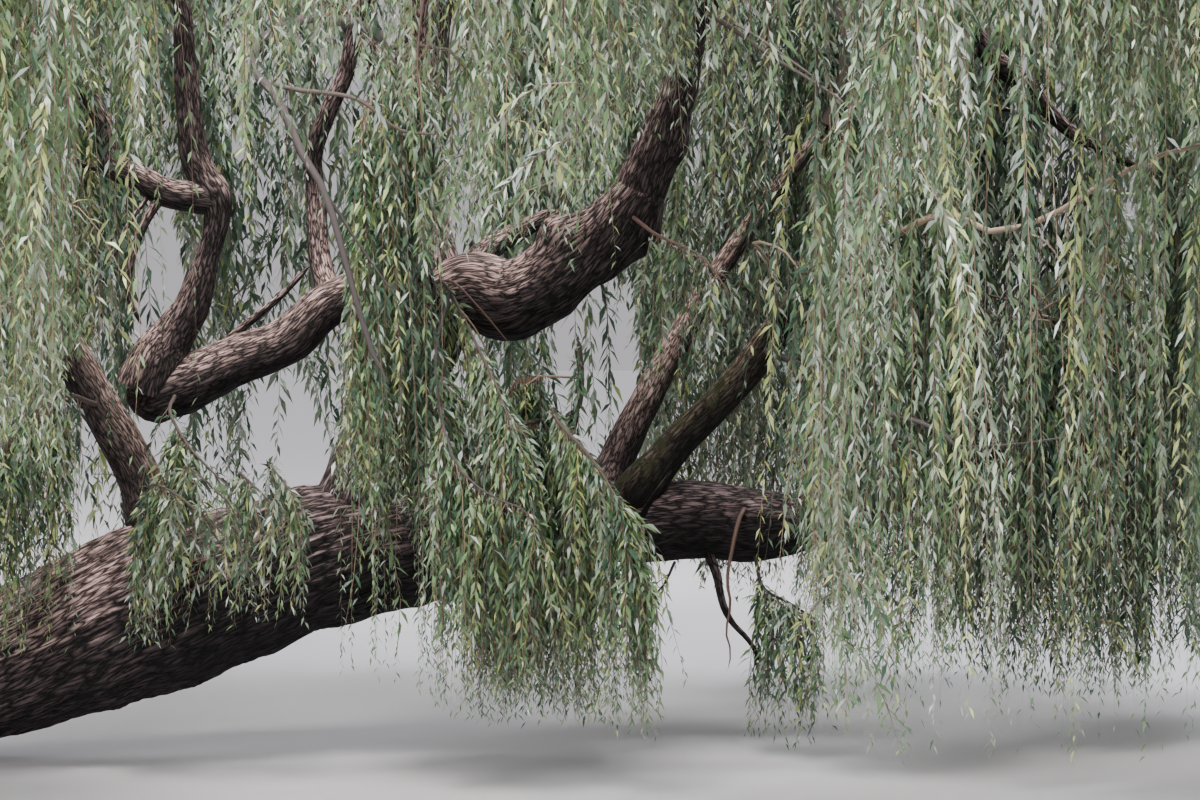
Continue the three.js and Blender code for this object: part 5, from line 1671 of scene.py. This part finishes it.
@dataclass
class Piece:
    """Meshes that are gathered and then joined into one object."""

    name: str
    vertices: list[Array] = field(default_factory=list)
    faces: list[Array] = field(default_factory=list)
    tones: list[Array] = field(default_factory=list)
    count: int = 0

    def add(self, vertices: Array, faces: Array, tones: Array | int) -> None:
        """Gathers a mesh whose faces take the given tones."""
        self.vertices.append(vertices)
        self.faces.append(faces + self.count)
        self.tones.append(np.broadcast_to(tones, len(faces)))
        self.count += len(vertices)

    def join(self, finishes: list[Material], nodes: list[str]) -> Object:
        """Makes the object.

        Args:
            finishes: The materials that tones number.
            nodes: The solids that the piece stands for.

        Returns:
            The object.
        """
        mesh = mesh_of(self.name, np.vstack(self.vertices), np.vstack(self.faces), np.concatenate(self.tones))
        for finish in finishes:
            mesh.materials.append(finish)
        made = place_object(self.name, mesh)
        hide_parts(*nodes)
        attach(made, "root")
        triangles = sum(faces.shape[0] * (faces.shape[1] - 2) for faces in self.faces)
        log.info("%s: %d triangles", self.name, triangles)
        return made


@dataclass
class Foliage:
    """All the masses of foliage, joined sector by sector."""

    limbs: dict[str, Limb]
    sight: Sightlines
    leaves: LeafSprays
    arm_rings: int = 9
    branch_rings: int = 16
    strand_radii: Pair = (0.004, 0.0018)
    branch_sides: int = 7
    stem_sides: int = 8
    arm_sides: int = 4
    kink: float = 0.25
    kink_size: float = 0.05
    branch_tip: float = 0.3
    stem_tip: float = 0.4
    arm_taper: float = 1.4
    red_share: float = 0.3

    def build(self) -> None:
        """Grows every mass and joins the leaves and the twigs of each sector."""
        tones = [tone.value.material() for tone in Leaf]
        woods = [wood.value.material() for wood in Wood]
        discs = self.sight.discs(self.limbs)
        near = np.vstack([limb.samples() for limb in self.limbs.values()])
        for sector in Sector:
            leaves = Piece(f"{sector.value.label}_leaves")
            twigs = Piece(f"{sector.value.label}_twigs")
            names = []
            for index, mass in enumerate(MASSES):
                if mass.sector is sector:
                    growth = Growth(mass, index, self.limbs[mass.bough], near, self.sight, discs)
                    self._grow(growth, leaves, twigs)
                    names.append(mass.name)
            if sector is Sector.INNER_LEFT:
                self._small_branches(twigs)
            leaves.join(tones, names)
            twigs.join(woods, names)

    def _small_branches(self, twigs: Piece) -> None:
        """Adds the small branches that show among the leaves."""
        shares = np.linspace(0, 1, self.branch_rings)
        for branch in SMALL_BRANCHES:
            places = branch.line.at(shares)
            places += self.kink * branch.radii[0] * (Grain.jitter(places / self.kink_size) - 0.5)
            radii = np.linspace(*branch.radii, self.branch_rings)
            radii[-1] *= self.branch_tip
            mesh = TwigBundle(self.branch_sides).mesh(places[None], radii[None])
            twigs.add(*mesh, list(Wood).index(branch.wood))

    def _grow(self, growth: Growth, leaves: Piece, twigs: Piece) -> None:
        """Grows one mass into the pieces of its sector."""
        stem = growth.stem()
        arms = growth.arms(stem)
        strands = growth.strands(stem, arms)
        outer = growth.leafy_arms(stem, arms)
        shares = np.linspace(0, 1, self.arm_rings)
        tip = min(STEM_RADII[0], growth.limb.radii[-1])
        stem_radii = np.linspace(tip, min(STEM_RADII[1], tip) * self.stem_tip, self.arm_rings)
        twigs.add(*TwigBundle(self.stem_sides).mesh(stem.at(shares)[None], stem_radii[None]), 0)
        for way, _, fine in arms:
            thick, thin = growth.fine_radii if fine else (ARM_RADII[0], growth.arm_tip_radius)
            radii = thin + (thick - thin) * (1 - shares) ** self.arm_taper
            twigs.add(*TwigBundle(self.arm_sides).mesh(way.at(shares)[None], radii[None]), 1 if fine else 0)
        count, rings = strands.places.shape[:2]
        radii = np.broadcast_to(np.linspace(*self.strand_radii, rings), (count, rings))
        vertices, faces = TwigBundle().mesh(strands.places, radii)
        reddish = (growth.rng.random(count) < self.red_share).astype(int) + 1
        twigs.add(vertices, faces, np.repeat(reddish, len(faces) // count))
        for hanging in (strands, outer):
            leaves.add(*self.leaves.grow(hanging, growth.mass.sector, growth.rng))
        log.info("%s: %d arms, %d strands", growth.mass.name, len(arms), count)


@dataclass(frozen=True)
class Lamp:
    """One soft round light: its place, width, power and colour."""

    name: str
    place: Place
    size: float
    power: float
    colour: Tint


@dataclass
class Studio:
    """A plain pale floor under soft light."""

    floor_size: float = 160.0
    floor_place: Place = (4.7, 0.0, -0.002)
    floor: PlainFinish = PlainFinish("pale floor", (0.62, 0.6, 0.62), 0.9)
    horizon: Tint = (0.53, 0.51, 0.535)
    overhead: Tint = (1.0, 1.0, 1.04)
    sky_stops: Pair = (0.06, 0.5)
    aim: Place = (4.6, 0.0, 4.0)
    lamps: tuple[Lamp, ...] = (
        Lamp("high light", (2.2, -7.5, 18.0), 8.0, 8000.0, (1.0, 0.975, 0.94)),
        Lamp("bank light", (-4.5, -16.5, 9.5), 6.0, 1800.0, (1.0, 0.98, 0.95)),
        Lamp("far light", (12.0, 9.0, 14.0), 8.0, 3000.0, (0.93, 0.96, 1.0)),
    )

    def build(self) -> None:
        """Lays the floor and hangs the lights."""
        half = self.floor_size / 2
        corners = np.array([(-half, -half, 0), (half, -half, 0), (half, half, 0), (-half, half, 0)], float)
        floor = place_object("floor", mesh_of("floor", corners, np.array([[0, 1, 2, 3]])))
        floor.location = self.floor_place
        floor.data.materials.append(self.floor.material())
        self._sky()
        for lamp in self.lamps:
            self._hang(lamp)

    def _sky(self) -> None:
        """A soft sky, as pale as the floor near the ground and brighter overhead."""
        world = bpy.data.worlds.new("soft sky")
        bpy.context.scene.world = world
        world.use_nodes = True
        tree = world.node_tree
        split = tree.nodes.new("ShaderNodeSeparateXYZ")
        tree.links.new(tree.nodes.new("ShaderNodeTexCoord").outputs["Generated"], split.inputs[0])
        ramp = tree.nodes.new("ShaderNodeValToRGB")
        tree.links.new(split.outputs["Z"], ramp.inputs["Fac"])
        low, high = ramp.color_ramp.elements
        low.position, low.color = self.sky_stops[0], (*self.horizon, 1.0)
        high.position, high.color = self.sky_stops[1], (*self.overhead, 1.0)
        tree.links.new(ramp.outputs["Color"], tree.nodes["Background"].inputs["Color"])

    def _hang(self, lamp: Lamp) -> None:
        """Hangs one light that faces the tree."""
        data = bpy.data.lights.new(lamp.name, "AREA")
        data.shape, data.size, data.energy, data.color = "DISK", lamp.size, lamp.power, lamp.colour
        made = bpy.data.objects.new(lamp.name, data)
        made.location = lamp.place
        made.rotation_mode = "QUATERNION"
        made.rotation_quaternion = (Vector(self.aim) - Vector(lamp.place)).to_track_quat("-Z", "Y")
        bpy.context.scene.collection.objects.link(made)


@dataclass
class BankCamera:
    """The camera on the bank, where the photograph was taken from."""

    place: Place = (4.98, -19.4, 3.0)
    pitch: float = -2.26
    lens: float = 95.25
    sensor: float = 36.0
    clip: Pair = (0.1, 300.0)

    def build(self) -> None:
        """Sets up the camera."""
        data = bpy.data.cameras.new("bank camera")
        data.lens, data.sensor_width = self.lens, self.sensor
        data.clip_start, data.clip_end = self.clip
        camera = bpy.data.objects.new("bank camera", data)
        camera.location = self.place
        camera.rotation_euler = (math.radians(90 + self.pitch), 0.0, 0.0)
        bpy.context.scene.collection.objects.link(camera)
        bpy.context.scene.camera = camera


def main() -> None:
    """Builds the tree, its stage and its camera."""
    logging.basicConfig(level=logging.INFO, format="%(message)s")
    limbs = {limb.name: limb for limb in LIMBS}
    barks = {bark: bark.value.material() for bark in Bark}
    for limb in LIMBS:
        limb.build(limbs, barks)
    Foliage(limbs, Sightlines(), LeafSprays()).build()
    Studio().build()
    BankCamera().build()
    bpy.context.view_layer.update()


if __name__ == "__main__":
    main()
